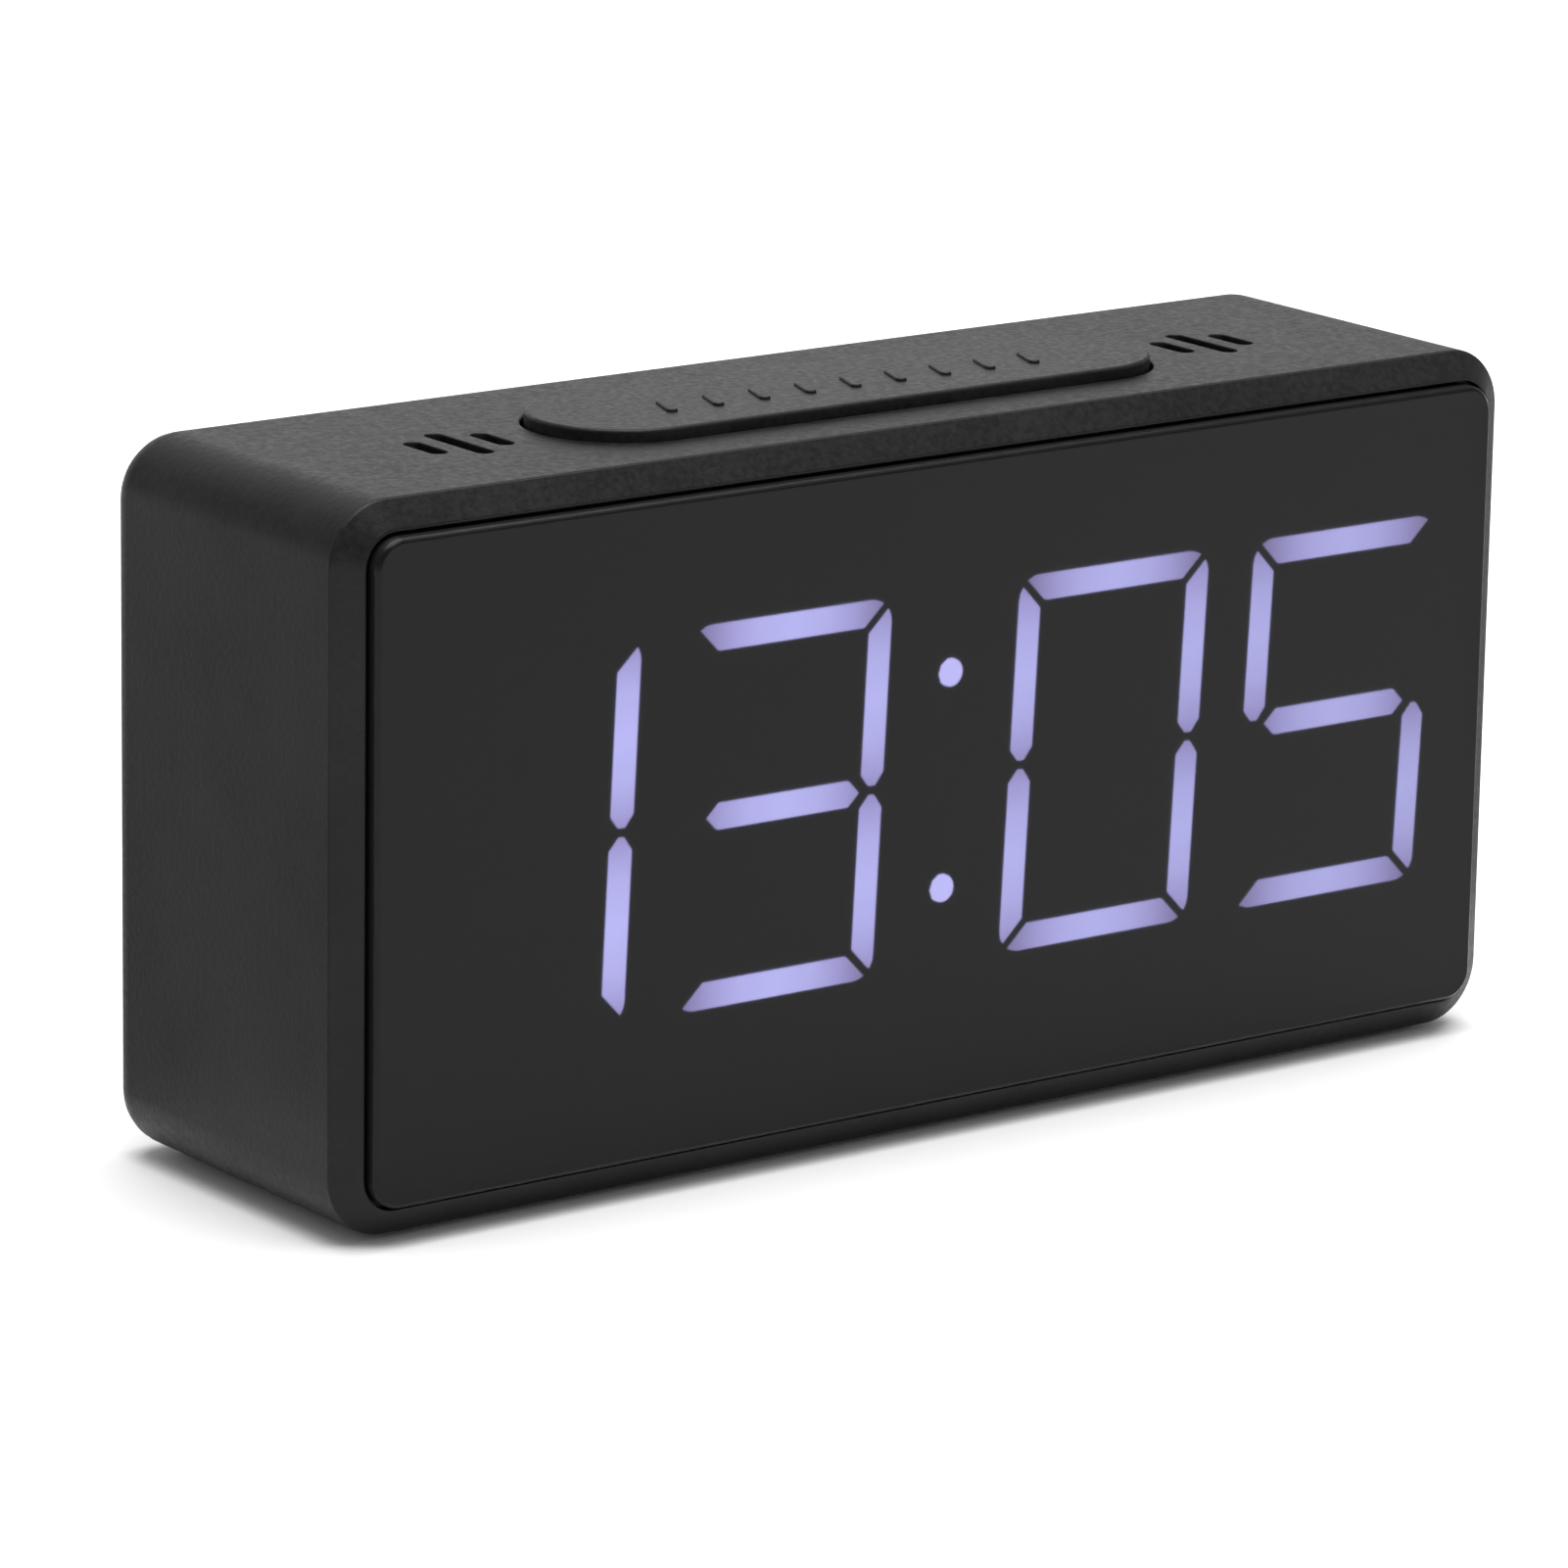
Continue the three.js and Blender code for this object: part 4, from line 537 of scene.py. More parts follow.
board_front = box_of("display_board")[1].y - BOARD
screw_low, screw_high = box_of("board_screw_4")
post_x = (screw_low.x + screw_high.x) / 2
board_screw_z = (screw_low.z + screw_high.z) / 2 - MIDDLE_Z
post_low, post_high = board_screw_z - POST_BELOW_SCREW, HALF_HEIGHT - CAVITY_INSET + OVERLAP
for right, up in CORNERS:
    top = (right * PILLAR_X, COVER_FRONT, MIDDLE_Z + up * PILLAR_Z)
    pillar = rod("pillar", top, PILLAR_RADIUS, "+Y", COVER_FRONT - LEDGE_BACK + OVERLAP)
    join_on(case, cut(pillar, bore(top, COVER_BORE, "+Y", PILLAR_BORE_DEPTH, 2 * BORE_MOUTH)))
    x, z = right * post_x, MIDDLE_Z + up * board_screw_z
    post = block("post", around(x, POST_HALF), (LEDGE_BACK - OVERLAP, board_front),
                 (MIDDLE_Z + up * post_low, MIDDLE_Z + up * post_high))
    join_on(case, cut(post, bore((x, board_front, z), BOARD_BORE, "+Y", POST_BORE_DEPTH, BORE_MOUTH)))
print("pillars and blocks joined to the case")

# %% Openings in the top, recesses below
BAR_Y = -1.35
BAR_LENGTH, BAR_WIDTH, BAR_GAP, BAR_MOUTH = 50.8, 13.0, 0.25, 0.2
SLOT_X, SLOT_PITCH, SLOT_WIDTH, SLOT_MOUTH = 32.05, 2.7, 1.3, 0.1
SLOT_LENGTHS = {-1: 4.25, 0: 7.25, 1: 4.25}
# A hole of this depth goes through the wall
THROUGH = 3
# A rounded end has a radius this much under half its width, so that its corners don't run together
HAIR = 0.005
FEET = [(x, y) for y in (-7.6, 7.1) for x in (-38, 38)]
FOOT_RECESS, FOOT_SEAT = 8.6, 0.5
hole_size = (BAR_LENGTH + 2 * BAR_GAP, BAR_WIDTH + 2 * BAR_GAP)
cut(case, drill("bar_hole", (0, BAR_Y, CASE_TOP), hole_size, "+Z", THROUGH,
                hole_size[1] / 2 - HAIR, BAR_MOUTH, 16))
for side in (-1, 1):
    for step, length in SLOT_LENGTHS.items():
        x = side * SLOT_X + step * SLOT_PITCH
        cut(case, drill("slot", (x, BAR_Y, CASE_TOP), (SLOT_WIDTH, length), "+Z", THROUGH,
                        SLOT_WIDTH / 2 - HAIR, SLOT_MOUTH, 6))
for x, y in FEET:
    cut(case, bore((x, y, CASE_BOTTOM), FOOT_RECESS, "-Z", FOOT_SEAT, BORE_MOUTH))
close_and_dress(case, CASE_PLASTIC, "case_plastic", "housing", "case_shell")

# %% [markdown]
# ## The smoked front
#
# The front panel is cut from cast acrylic with an etched face, and its edge is broken with a fine
# chamfer. It stands a little proud of its pocket, with a narrow groove all round, which reads as a
# black line, and its top edge catches a thin light line. It is modelled as a real plate, thick enough
# to stand proud, so that light bends in it and the digits behind it shift as through the real sheet.
# Its sawn sides are black, as painted shade for the groove, which also keeps the digits' light from
# leaking out into the groove.

# %% Front panel
LENS_INSET, LENS_FRONT, LENS_BACK, AIR = 2.27, -15.0, -13.4, 0.03
# A fine chamfer, whose two edges are broken again
LENS_EDGE = [(0.04, 0.1), (0.22, 0.22), (0.1, 0.04)]
lens_size = (2 * (HALF_WIDTH - LENS_INSET), 2 * (HALF_HEIGHT - LENS_INSET))
lens = slab("front_panel", (0, LENS_FRONT, MIDDLE_Z), lens_size, "-Y",
            LENS_BACK - LENS_FRONT - AIR, CORNER_RADIUS - LENS_INSET, LENS_EDGE, segments=12)
close_up(lens)

# Matte, opaque black on the sides, painted shade so that the groove reads as a clean black line
EDGE_BLACK_PAINTED_SHADE, _, _ = new_material(
    "black_painted_groove_shade", Base_Color=srgb("#060607"), Roughness=0.6, Specular_IOR_Level=0.2)
# A face is one of the sides if its normal leans less than this to the front or the back
SIDE_LEAN = 0.1
lens.data.materials.append(SMOKED_ACRYLIC)
lens.data.materials.append(EDGE_BLACK_PAINTED_SHADE)
for face in lens.data.polygons:
    face.material_index = int(abs(face.normal.y) < SIDE_LEAN)
dress(lens, SMOKED_ACRYLIC, "smoked_acrylic", "housing", "front_lens")

# %% [markdown]
# ## The lit digits
#
# Behind the front, a black film has a window for each segment, and a milky sheet fills the windows.
# A light-emitting diode shines through each milky pad, so a lit segment is brightest and bluest near
# its middle and duller and more violet towards its ends, and the long pads fade the most. Three kinds
# of segment make up a digit: a bar across with mitred ends, an upright with one pointed end, and the
# middle bar with two points. Each kind is modelled once, then mirrored and copied. Only the pads that
# are lit get the glow.

# %% Finishes of the display
# A milky pad is pale, but here its colour is painted shade: with no light behind it, it shows as dark as
# the film round it
MILKY_PAD_PAINTED_SHADE, _, _ = new_material(
    "milky_polycarbonate_painted_shade", Base_Color=srgb("#0c0c0e"), Roughness=0.6)

# Lit from behind, it glows with a colour that follows the distance from its diode, as a share of a
# digit's width, and it fades a little to the right of the display, as the photograph shows
FADE_HALF, FADE_TO = 45, 0.78
GLOW, glow_tree, glow = new_material(
    "milky_polycarbonate_lit", Base_Color=srgb("#101014"), Roughness=0.5, Emission_Strength=23.5)
glow_map = add_node(glow_tree, "ShaderNodeUVMap", {}, uv_map="along_pad")
glow_place = add_node(glow_tree, "ShaderNodeSeparateXYZ", {"Vector": (glow_map, "UV")})
glow_end = add_node(glow_tree, "ShaderNodeMath", {0: (glow_place, "X"), 1: 0.5}, operation="SUBTRACT")
glow_far = add_node(glow_tree, "ShaderNodeMath", {0: (glow_end, "Value")}, operation="ABSOLUTE")
glow_ramp = add_node(glow_tree, "ShaderNodeValToRGB", {"Fac": (glow_far, "Value")})
stops = glow_ramp.color_ramp.elements
stops[0].color, stops[1].color, stops[1].position = srgb("#c0c2f5"), srgb("#756c8f"), 0.5
stops.new(0.178).color = srgb("#b9b9eb")
stops.new(0.296).color = srgb("#aaa7d8")
glow_where = add_node(glow_tree, "ShaderNodeTexCoord", {})
glow_across = add_node(glow_tree, "ShaderNodeSeparateXYZ", {"Vector": (glow_where, "Object")})
glow_fade = add_node(glow_tree, "ShaderNodeMapRange", {
    "Value": (glow_across, "X"), "From Min": -FADE_HALF * MM, "From Max": FADE_HALF * MM,
    "To Min": 1.0, "To Max": FADE_TO})
glow_colour = add_node(glow_tree, "ShaderNodeMixRGB", {
    "Fac": 1.0, "Color1": (glow_ramp, "Color"), "Color2": (glow_fade, "Result")}, blend_type="MULTIPLY")
link(glow_tree, glow_colour, "Color", glow, "Emission Color")

# A dot is small and sits right over its diode, so it is evenly lit and whiter
GLOW_DOT, _, _ = new_material(
    "milky_polycarbonate_lit_dot", Base_Color=srgb("#101014"), Roughness=0.5,
    Emission_Color=srgb("#c8c8fb"), Emission_Strength=21.5)

# %% Sizes of a digit
PAD_THICKNESS, SHEET_THICKNESS = 0.25, 0.5
PAD_BACK = LENS_BACK + PAD_THICKNESS
DIGIT_HALF, DIGIT_HALF_HEIGHT = 8.45, 13.38
DIGIT_PLACES, DIGIT_PITCH = (-34.8, -13.9, 13.9, 34.8), 20.9
STROKE, SEGMENT_GAP, PAD_CLEARANCE = 2.0, 0.5, 0.1
SEGMENT_CORNER = 1.75
LEAN, LIFT = 0.045, 0.1
pad_half, pad_half_height = DIGIT_HALF - PAD_CLEARANCE, DIGIT_HALF_HEIGHT - PAD_CLEARANCE
pad_stroke = STROKE - 2 * PAD_CLEARANCE
mitre = (SEGMENT_GAP / 2 + PAD_CLEARANCE) * math.sqrt(2)


def pare(corner, way):
    """Cuts off what lies beyond a slanting line of the drawing: a point on it and the way out."""
    bpy.ops.mesh.select_all(action="SELECT")
    bpy.ops.mesh.bisect(
        plane_co=(corner[0] * MM, LENS_BACK * MM, corner[1] * MM), plane_no=(way[0], 0, way[1]),
        clear_outer=True)
    bpy.ops.mesh.select_all(action="SELECT")


def round_corners(test):
    """Rounds the outer corners of a segment that pass the test."""
    select_points(test)
    bpy.ops.mesh.bevel(offset=(SEGMENT_CORNER - PAD_CLEARANCE) * MM, affect="VERTICES", segments=8)
    bpy.ops.mesh.select_all(action="SELECT")


def finish_pad(pad, along):
    """Gives a pad its thickness and a map along it: 0.5 at its diode, 1 or 0 a digit's half away."""
    open_up(pad)
    thicken(PAD_THICKNESS)
    only(pad)
    mesh = pad.data
    places = [point.co[along] for point in mesh.vertices]
    diode = (min(places) + max(places)) / 2
    layer = mesh.uv_layers.new(name="along_pad")
    for loop in mesh.loops:
        share = (places[loop.vertex_index] - diode) / (2 * DIGIT_HALF * MM)
        layer.data[loop.index].uv = (0.5 + share, 0.5)


# %% The three kinds of pad, drawn round the origin
bar_pad = start_face("bar_pad", (0, LENS_BACK, DIGIT_HALF_HEIGHT - STROKE / 2),
                     (2 * pad_half, pad_stroke), "-Y")
round_corners(lambda place: place.z > DIGIT_HALF_HEIGHT - STROKE / 2)
for side in (-1, 1):
    pare((side * (DIGIT_HALF - mitre), DIGIT_HALF_HEIGHT), (side, -1))
finish_pad(bar_pad, 0)

upright_low = SEGMENT_GAP / 2 + PAD_CLEARANCE
upright_middle = DIGIT_HALF - STROKE / 2
upright_pad = start_face(
    "upright_pad", (upright_middle, LENS_BACK, (upright_low + pad_half_height) / 2),
    (pad_stroke, pad_half_height - upright_low), "-Y")
round_corners(lambda place: place.z > DIGIT_HALF_HEIGHT / 2 and place.x > upright_middle)
pare((DIGIT_HALF, DIGIT_HALF_HEIGHT - mitre), (-1, 1))
# The point of an upright is blunt, TIP wide on each side, and SHOULDER long
SHOULDER, TIP = 0.9, 0.25
for side in (-1, 1):
    pare((upright_middle + side * TIP, upright_low),
         (side * SHOULDER, -(pad_stroke / 2 - TIP)))
finish_pad(upright_pad, 2)

# The middle bar ends this far from the middle of the uprights
MIDDLE_GAP = 0.95
middle_half = upright_middle - MIDDLE_GAP - PAD_CLEARANCE * math.sqrt(2)
middle_pad = start_face("middle_pad", (0, LENS_BACK, 0), (2 * middle_half, pad_stroke), "-Y")
for side in (-1, 1):
    for up in (-1, 1):
        pare((side * middle_half, 0), (side, up))
finish_pad(middle_pad, 0)
print("pads:", [len(pad.data.vertices) for pad in (bar_pad, upright_pad, middle_pad)], "points")

# %% Put a digit together
SEGMENTS = {
    "a": (bar_pad, 1, 1), "d": (bar_pad, 1, -1), "g": (middle_pad, 1, 1),
    "b": (upright_pad, 1, 1), "c": (upright_pad, 1, -1),
    "f": (upright_pad, -1, 1), "e": (upright_pad, -1, -1)}
SHOWN = ("bc", "abcdg", "abcdef", "acdfg")
SHEET_MARGIN, SHEET_GAP = 0.5, 0.6


def sheet(name, place, half, pads):
    """The milky sheet behind one group of windows, with its pads as one piece."""
    base = block(name, around(place, half), (PAD_BACK, PAD_BACK + SHEET_THICKNESS),
                 around(MIDDLE_Z + LIFT, DIGIT_HALF_HEIGHT + SHEET_MARGIN))
    # The sheet round the pads takes their painted shade too
    base.data.materials.append(MILKY_PAD_PAINTED_SHADE)
    for pad, finish in pads:
        pad.data.materials.clear()
        pad.data.materials.append(finish)
        pad.select_set(True)
    bpy.context.view_layer.objects.active = base
    bpy.ops.object.join()
    only(base)
    bpy.ops.object.shade_smooth_by_angle(angle=math.radians(30))
    return base


def mirrored(pad, right, up):
    """A copy of a pad, mirrored where a way is -1, with its faces turned outwards again."""
    copy = copy_to(pad, "pad", scale=(right, 1, up))
    open_up(copy)
    bpy.ops.mesh.normals_make_consistent(inside=False)
    only(copy)
    return copy


for number, (place, shown) in enumerate(zip(DIGIT_PLACES, SHOWN), 1):
    pads = []
    for letter, (kind, right, up) in SEGMENTS.items():
        pad = mirrored(kind, right, up)
        lean = Matrix.Translation((place * MM, 0, (MIDDLE_Z + LIFT) * MM))
        lean[0][2] = LEAN
        pad.data.transform(lean)
        # An unlit pad keeps the painted shade of the sheet
        pads.append((pad, GLOW if letter in shown else MILKY_PAD_PAINTED_SHADE))
    digit = sheet(f"digit_sheet_{number}", place, (DIGIT_PITCH - SHEET_GAP) / 2, pads)
    dress(digit, MILKY_PAD_PAINTED_SHADE, "milky_diffuser", "housing", f"digit_diffuser_{number}")

# %% The colon
DOT_RADIUS, DOT_SPREAD, DOT_DROP, DOT_LEAN = 1.08, 15.2, 0.2, 0.4
dots = []
for up in (-1, 1):
    place = (up * DOT_LEAN / 2, LENS_BACK, MIDDLE_Z + LIFT - DOT_DROP + up * DOT_SPREAD / 2)
    dot = start_disc("dot", place, DOT_RADIUS - PAD_CLEARANCE, "-Y", sides=40)
    finish_pad(dot, 0)
    dots.append((dot, GLOW_DOT))
colon = sheet("colon_sheet", 0, DIGIT_PLACES[2] - DIGIT_PITCH / 2, dots)
dress(colon, MILKY_PAD_PAINTED_SHADE, "milky_diffuser", "housing", "colon_diffuser")
remove(bar_pad, upright_pad, middle_pad)

# %% [markdown]
# ## The snooze bar
#
# The bar is a moulding of its own with round ends. It has a finely rounded rim, a flange below that
# keeps it from coming out, a boss that presses the switch, and a row of slanted marks for the finger
# along its top. One mark is modelled, turned, and copied along the bar.

# %% Bar, flange, boss and marks
BAR_RISE, BAR_ROUNDING = 0.8, 0.25
FLANGE_OUT, FLANGE_THICKNESS, FLANGE_PLAY = 1.2, 1.2, 0.1
PRESS_RADIUS, PRESS_LENGTH = 1.3, 1.55
BAR_TOP = CASE_TOP + BAR_RISE
FLANGE_TOP = CASE_TOP - CAVITY_INSET - FLANGE_PLAY
plunger_low, plunger_high = box_of("snooze_plunger")
plunger_y = (plunger_low.y + plunger_high.y) / 2
bar = slab("bar", (0, BAR_Y, BAR_TOP), (BAR_LENGTH, BAR_WIDTH), "+Z", BAR_TOP - FLANGE_TOP + OVERLAP,
           BAR_WIDTH / 2 - HAIR, round_over(BAR_ROUNDING), 24)
flange_size = (BAR_LENGTH + 2 * FLANGE_OUT, BAR_WIDTH + 2 * FLANGE_OUT)
flange = slab("flange", (0, BAR_Y, FLANGE_TOP), flange_size, "+Z", FLANGE_THICKNESS,
              flange_size[1] / 2 - HAIR, segments=16)
boss = rod("boss", (0, plunger_y, plunger_high.z), PRESS_RADIUS, "-Z", PRESS_LENGTH, round_over(0.2))
join_on(bar, flange, boss)

MARKS_EACH_SIDE, MARK_PITCH, MARK_LEAN, MARKS_Y = 4, 3.9, 0.35, BAR_Y - 0.85
MARK_WIDTH, MARK_LENGTH, MARK_HEIGHT = 0.8, 3.4, 0.2
mark = slab("mark", (0, 0, BAR_TOP + MARK_HEIGHT), (MARK_WIDTH, MARK_LENGTH), "+Z",
            MARK_HEIGHT + OVERLAP, MARK_WIDTH / 2 - 2 * HAIR, round_over(0.12, steps=3), 6)
for step in range(-MARKS_EACH_SIDE, MARKS_EACH_SIDE + 1):
    join_on(bar, copy_to(mark, "mark_copy", (step * MARK_PITCH, MARKS_Y, 0),
                         (0, 0, -math.degrees(MARK_LEAN))))
remove(mark)
close_and_dress(bar, BAR_PLASTIC, "case_plastic", "snooze_key", "snooze_bar")

# %% [markdown]
# ## The feet
#
# Four thin rubber feet are glued into recesses under the case. They are punched from a sheet, so
# their flat faces have an edge that is only slightly rounded. Rubber is nearly black, quite rough,
# and dusty in its pores, so it shines less than the plastic and is a little lighter.

# %% Rubber feet
# Nitrile rubber punched from a sheet: dust in its pores makes it dull and takes the depth off its black
FOOT_RUBBER = grained("nitrile_rubber_punched", "#161616", "#242423", (0.75, 0.9), 0.4, 0.03)
FOOT_RADIUS, FOOT_HEIGHT = 4.0, 1.0
foot = rod("foot", (0, 0, 0), FOOT_RADIUS, "-Z", FOOT_HEIGHT, round_over(0.2), sides=64)
for number, (x, y) in enumerate(FEET, 1):
    pad = copy_to(foot, f"rubber_foot_{number}", (x, y, 0))
    close_and_dress(pad, FOOT_RUBBER, "foot_rubber", "housing", f"foot_{number}")
remove(foot)

# %% [markdown]
# ## The rear cover
#
# The cover is a second moulding: a plate that drops into the case, with a tub for the batteries on
# its inner side. Plate, tub and bosses are built as solids and joined, then everything that is
# hollow is cut at once: the tub's inside, the door's seat, holes for screws, buttons and the inlet.
# The tools for the round holes have flared mouths again, so that each hole has a moulded rim.

# %% Plate, tub and bosses
# Charcoal ABS moulded against a blasted face: duller and more even than the case round it
COVER_PLASTIC = grained("charcoal_abs_moulded_cover", "#141416", "#1c1c1e", (0.5, 0.6), 0.28, 0.018,
                        Specular_IOR_Level=0.3)
PLATE_INSET = 2.6
TUB_X, TUB_HALF_HEIGHT, TUB_FLOOR = (-40.0, 10.4), 16.05, 1.1
TUB_WALL, FLOOR_THICKNESS, TUB_ROUNDING, SEAT = 1.6, 1.4, 0.5, 0.9
BOSS_X, BOSS_FRONT, BOSS_Z, BOSS_RADIUS, BOSS_BORE_DEPTH = 31.4, 7.2, 12.4, 2.6, 4.1
boss_places = [(BOSS_X, BOSS_FRONT, MIDDLE_Z + up * BOSS_Z) for up in (-1, 1)]
plate_size = (2 * (HALF_WIDTH - PLATE_INSET), 2 * (HALF_HEIGHT - PLATE_INSET))
cover = slab("cover", (0, BACK, MIDDLE_Z), plate_size, "+Y", BACK - COVER_FRONT,
             CORNER_RADIUS - PLATE_INSET, round_over(0.3), segments=12)
tub = block("tub", (TUB_X[0] - TUB_WALL, TUB_X[1] + TUB_WALL),
            (TUB_FLOOR - FLOOR_THICKNESS, COVER_FRONT + OVERLAP),
            around(MIDDLE_Z, TUB_HALF_HEIGHT + TUB_WALL))
open_up(tub)
select_edges(lambda a, b: max(a.y, b.y) < TUB_FLOOR)
bpy.ops.mesh.bevel(offset=TUB_ROUNDING * MM, segments=3)
join_on(cover, tub)
for place in boss_places:
    join_on(cover, rod("boss", place, BOSS_RADIUS, "-Y", COVER_FRONT - BOSS_FRONT + OVERLAP))

# %% Hollows and holes of the cover
# The rounding at the mouth of a hole that is seen
MOUTH = 0.25
RECESS, RECESS_DEPTH, BORE_START = 5.3, 1.1, 0.5
COLUMN_X, BUTTON_HOLE = 22.4, 6.2
BUTTON_HEIGHTS = {"mode": 12, "alarm": 4, "up": -4, "down": -12}
INLET_X, INLET_Z, INLET_HOLE, INLET_HOLE_RADIUS = 38.9, 17.4, (8.1, 3.4), 1.4
cut(cover, block("inside", TUB_X, (TUB_FLOOR, BACK), around(MIDDLE_Z, TUB_HALF_HEIGHT)),
    block("seat", (TUB_X[0] - SEAT, TUB_X[1] + SEAT), (COVER_FRONT, BACK + OVERSHOOT),
          around(MIDDLE_Z, TUB_HALF_HEIGHT + SEAT)))
for right, up in CORNERS:
    x, z = right * PILLAR_X, MIDDLE_Z + up * PILLAR_Z
    cut(cover, bore((x, BACK, z), RECESS, "+Y", RECESS_DEPTH, MOUTH, 12),
        bore((x, BACK - BORE_START, z), COVER_BORE, "+Y", THROUGH))
for height in BUTTON_HEIGHTS.values():
    cut(cover, bore((COLUMN_X, BACK, MIDDLE_Z + height), BUTTON_HOLE, "+Y", THROUGH, MOUTH, 16))
for place in boss_places:
    cut(cover, bore(place, BOARD_BORE, "-Y", BOSS_BORE_DEPTH, BORE_MOUTH))
cut(cover, drill("inlet", (INLET_X, BACK, INLET_Z), INLET_HOLE, "+Y", THROUGH,
                 INLET_HOLE_RADIUS, MOUTH, 8))

# %% Seats of the door and of the contacts
# The room round a lug or a tab
PLAY = 0.3
DOOR_X, DOOR_HALF, DOOR_HALF_HEIGHT, DOOR_THICKNESS = -14.8, 25.9, 16.75, 1.8
LUG_HALF, LUG_FRONT, LUG_INSET, TOE_DROP = 3, 11.0, 9, 1.5
LUG_PLACES = [DOOR_X + side * (DOOR_HALF - LUG_INSET) for side in (-1, 1)]
door_low = MIDDLE_Z - DOOR_HALF_HEIGHT
# The door turns about its lower back edge, and this is how far from there a toe's tip swings
swing = math.hypot(BACK - LUG_FRONT, TOE_DROP)
for x in LUG_PLACES:
    cut(cover, block("notch", around(x, LUG_HALF + PLAY), (BACK - swing - PLAY, COVER_FRONT),
                     (door_low - TOE_DROP - PLAY, MIDDLE_Z - TUB_HALF_HEIGHT + OVERLAP)))
CELL_PITCH, TAB_LENGTH, TAB_Y, SLIT_HALF = 10.7, 3.0, (3.65, 6.05), 0.5
for wall, inward in ((TUB_X[1], -1), (TUB_X[0], 1)):
    z = MIDDLE_Z - inward * CELL_PITCH
    cut(cover, block("slit", (wall + inward * OVERLAP, wall - inward * TAB_LENGTH),
                     (TAB_Y[0] - PLAY, TAB_Y[1] + PLAY), around(z, SLIT_HALF)))
SCOOP, SCOOP_DEPTH, SCOOP_RADIUS, SCOOP_MOUTH = (15.2, 4.0), 1.0, 1.95, 0.9
cut(cover, drill("scoop", (DOOR_X, BACK, MIDDLE_Z + DOOR_HALF_HEIGHT), SCOOP, "+Y", SCOOP_DEPTH,
                 SCOOP_RADIUS, SCOOP_MOUTH))
close_and_dress(cover, COVER_PLASTIC, "cover_plastic", "housing", "rear_cover")

# %% [markdown]
# ## The battery door
#
# The door lies flush in the cover and turns out at its lower edge, where two lugs hook behind the
# plate. Three short ribs near its upper edge give the nail some grip. One rib and one lug are
# modelled, then copied. The toes of the lugs are rounded, so they slide out of their seats.

# %% Door, lugs and ribs
door = slab("door", (DOOR_X, BACK, MIDDLE_Z), (2 * DOOR_HALF, 2 * DOOR_HALF_HEIGHT), "+Y",
            DOOR_THICKNESS, 0.3, round_over(0.15, steps=3), 4)
LUG_HEIGHT, TOE_THICKNESS, TOE_ROUNDING = 1.2, 1.1, 0.35
toe_top = door_low + 2 * OVERLAP
lug = block("lug", around(0, LUG_HALF), (LUG_FRONT, BACK - DOOR_THICKNESS + OVERLAP),
            (door_low, door_low + LUG_HEIGHT))
join_on(lug, block("toe", around(0, LUG_HALF), (LUG_FRONT, LUG_FRONT + TOE_THICKNESS),
                   (door_low - TOE_DROP, toe_top)))
open_up(lug)
select_edges(lambda a, b: max(a.z, b.z) < toe_top - TOE_DROP)
bpy.ops.mesh.bevel(offset=TOE_ROUNDING * MM, segments=3)
for x in LUG_PLACES:
    join_on(door, copy_to(lug, "lug_copy", (x, 0, 0)))
RIB_LENGTH, RIB_WIDTH, RIB_HEIGHT, RIB_PITCH = 14, 0.8, 0.4, 1.8
rib = slab("rib", (DOOR_X, BACK + RIB_HEIGHT, 0), (RIB_LENGTH, RIB_WIDTH), "+Y", RIB_HEIGHT + OVERLAP,
           RIB_WIDTH / 2 - 2 * HAIR, round_over(0.2, steps=3), 6)
for step in (1, 2, 3):
    join_on(door, copy_to(rib, "rib_copy", (0, 0, MIDDLE_Z + DOOR_HALF_HEIGHT - RIB_PITCH * step)))
remove(lug, rib)
close_and_dress(door, COVER_PLASTIC, "cover_plastic", "door", "battery_door")

# %% [markdown]
# ## Screws
#
# The screws are zinc-plated steel: bright but a little cloudy, and bluish. A pan head is turned with
# a round shoulder, and a cross is punched into it. One screw of each size is modelled standing at
# the origin with its head to the back of the clock, then copied to all its holes.

# %% Zinc-plated steel
# The plating shows as soft clouds in tone and gloss, drawn 0.7 mm wide, as coarse as they need to show
SCREW_STEEL, tree, shader = new_material("zinc_plated_steel_rolled", Metallic=1.0)
place = add_node(tree, "ShaderNodeTexCoord", {})
cloud = add_node(tree, "ShaderNodeTexNoise", {
    "Vector": (place, "Object"), "Scale": 1 / (0.7 * MM), "Detail": 3.0})
tone = add_node(tree, "ShaderNodeMixRGB", {
    "Fac": (cloud, "Fac"), "Color1": srgb("#a4a8ad"), "Color2": srgb("#c8cacc")})
gloss = add_node(tree, "ShaderNodeMapRange", {"Value": (cloud, "Fac"), "To Min": 0.25, "To Max": 0.5})
link(tree, tone, "Color", shader, "Base Color")
link(tree, gloss, "Result", shader, "Roughness")


# %% Turn a screw and punch its cross
CROSS, CROSS_DEPTH = (2.0, 0.46), 0.6


def make_screw(name, head, head_height, shoulder, shank, length):
    """A screw along Y whose head's underside lies at the origin."""
    piece = rod(name, (0, head_height, 0), head, "+Y", head_height, round_over(shoulder, steps=5))
    blunt_point = ((shank * 0.8, shank),)
    join_on(piece, rod("shank", (0, -length, 0), shank, "-Y", length + OVERLAP, blunt_point, 24))
    for turned in (0, 90):
        slot = drill("cross", (0, head_height, 0), CROSS, "+Y", CROSS_DEPTH, 0.1, 0.06, 3)
        cut(piece, copy_to(slot, "cross_copy", turn=(0, turned, 0)))
        remove(slot)
    return piece


LONG_HEAD, SHORT_HEAD = 1.0, 1.3
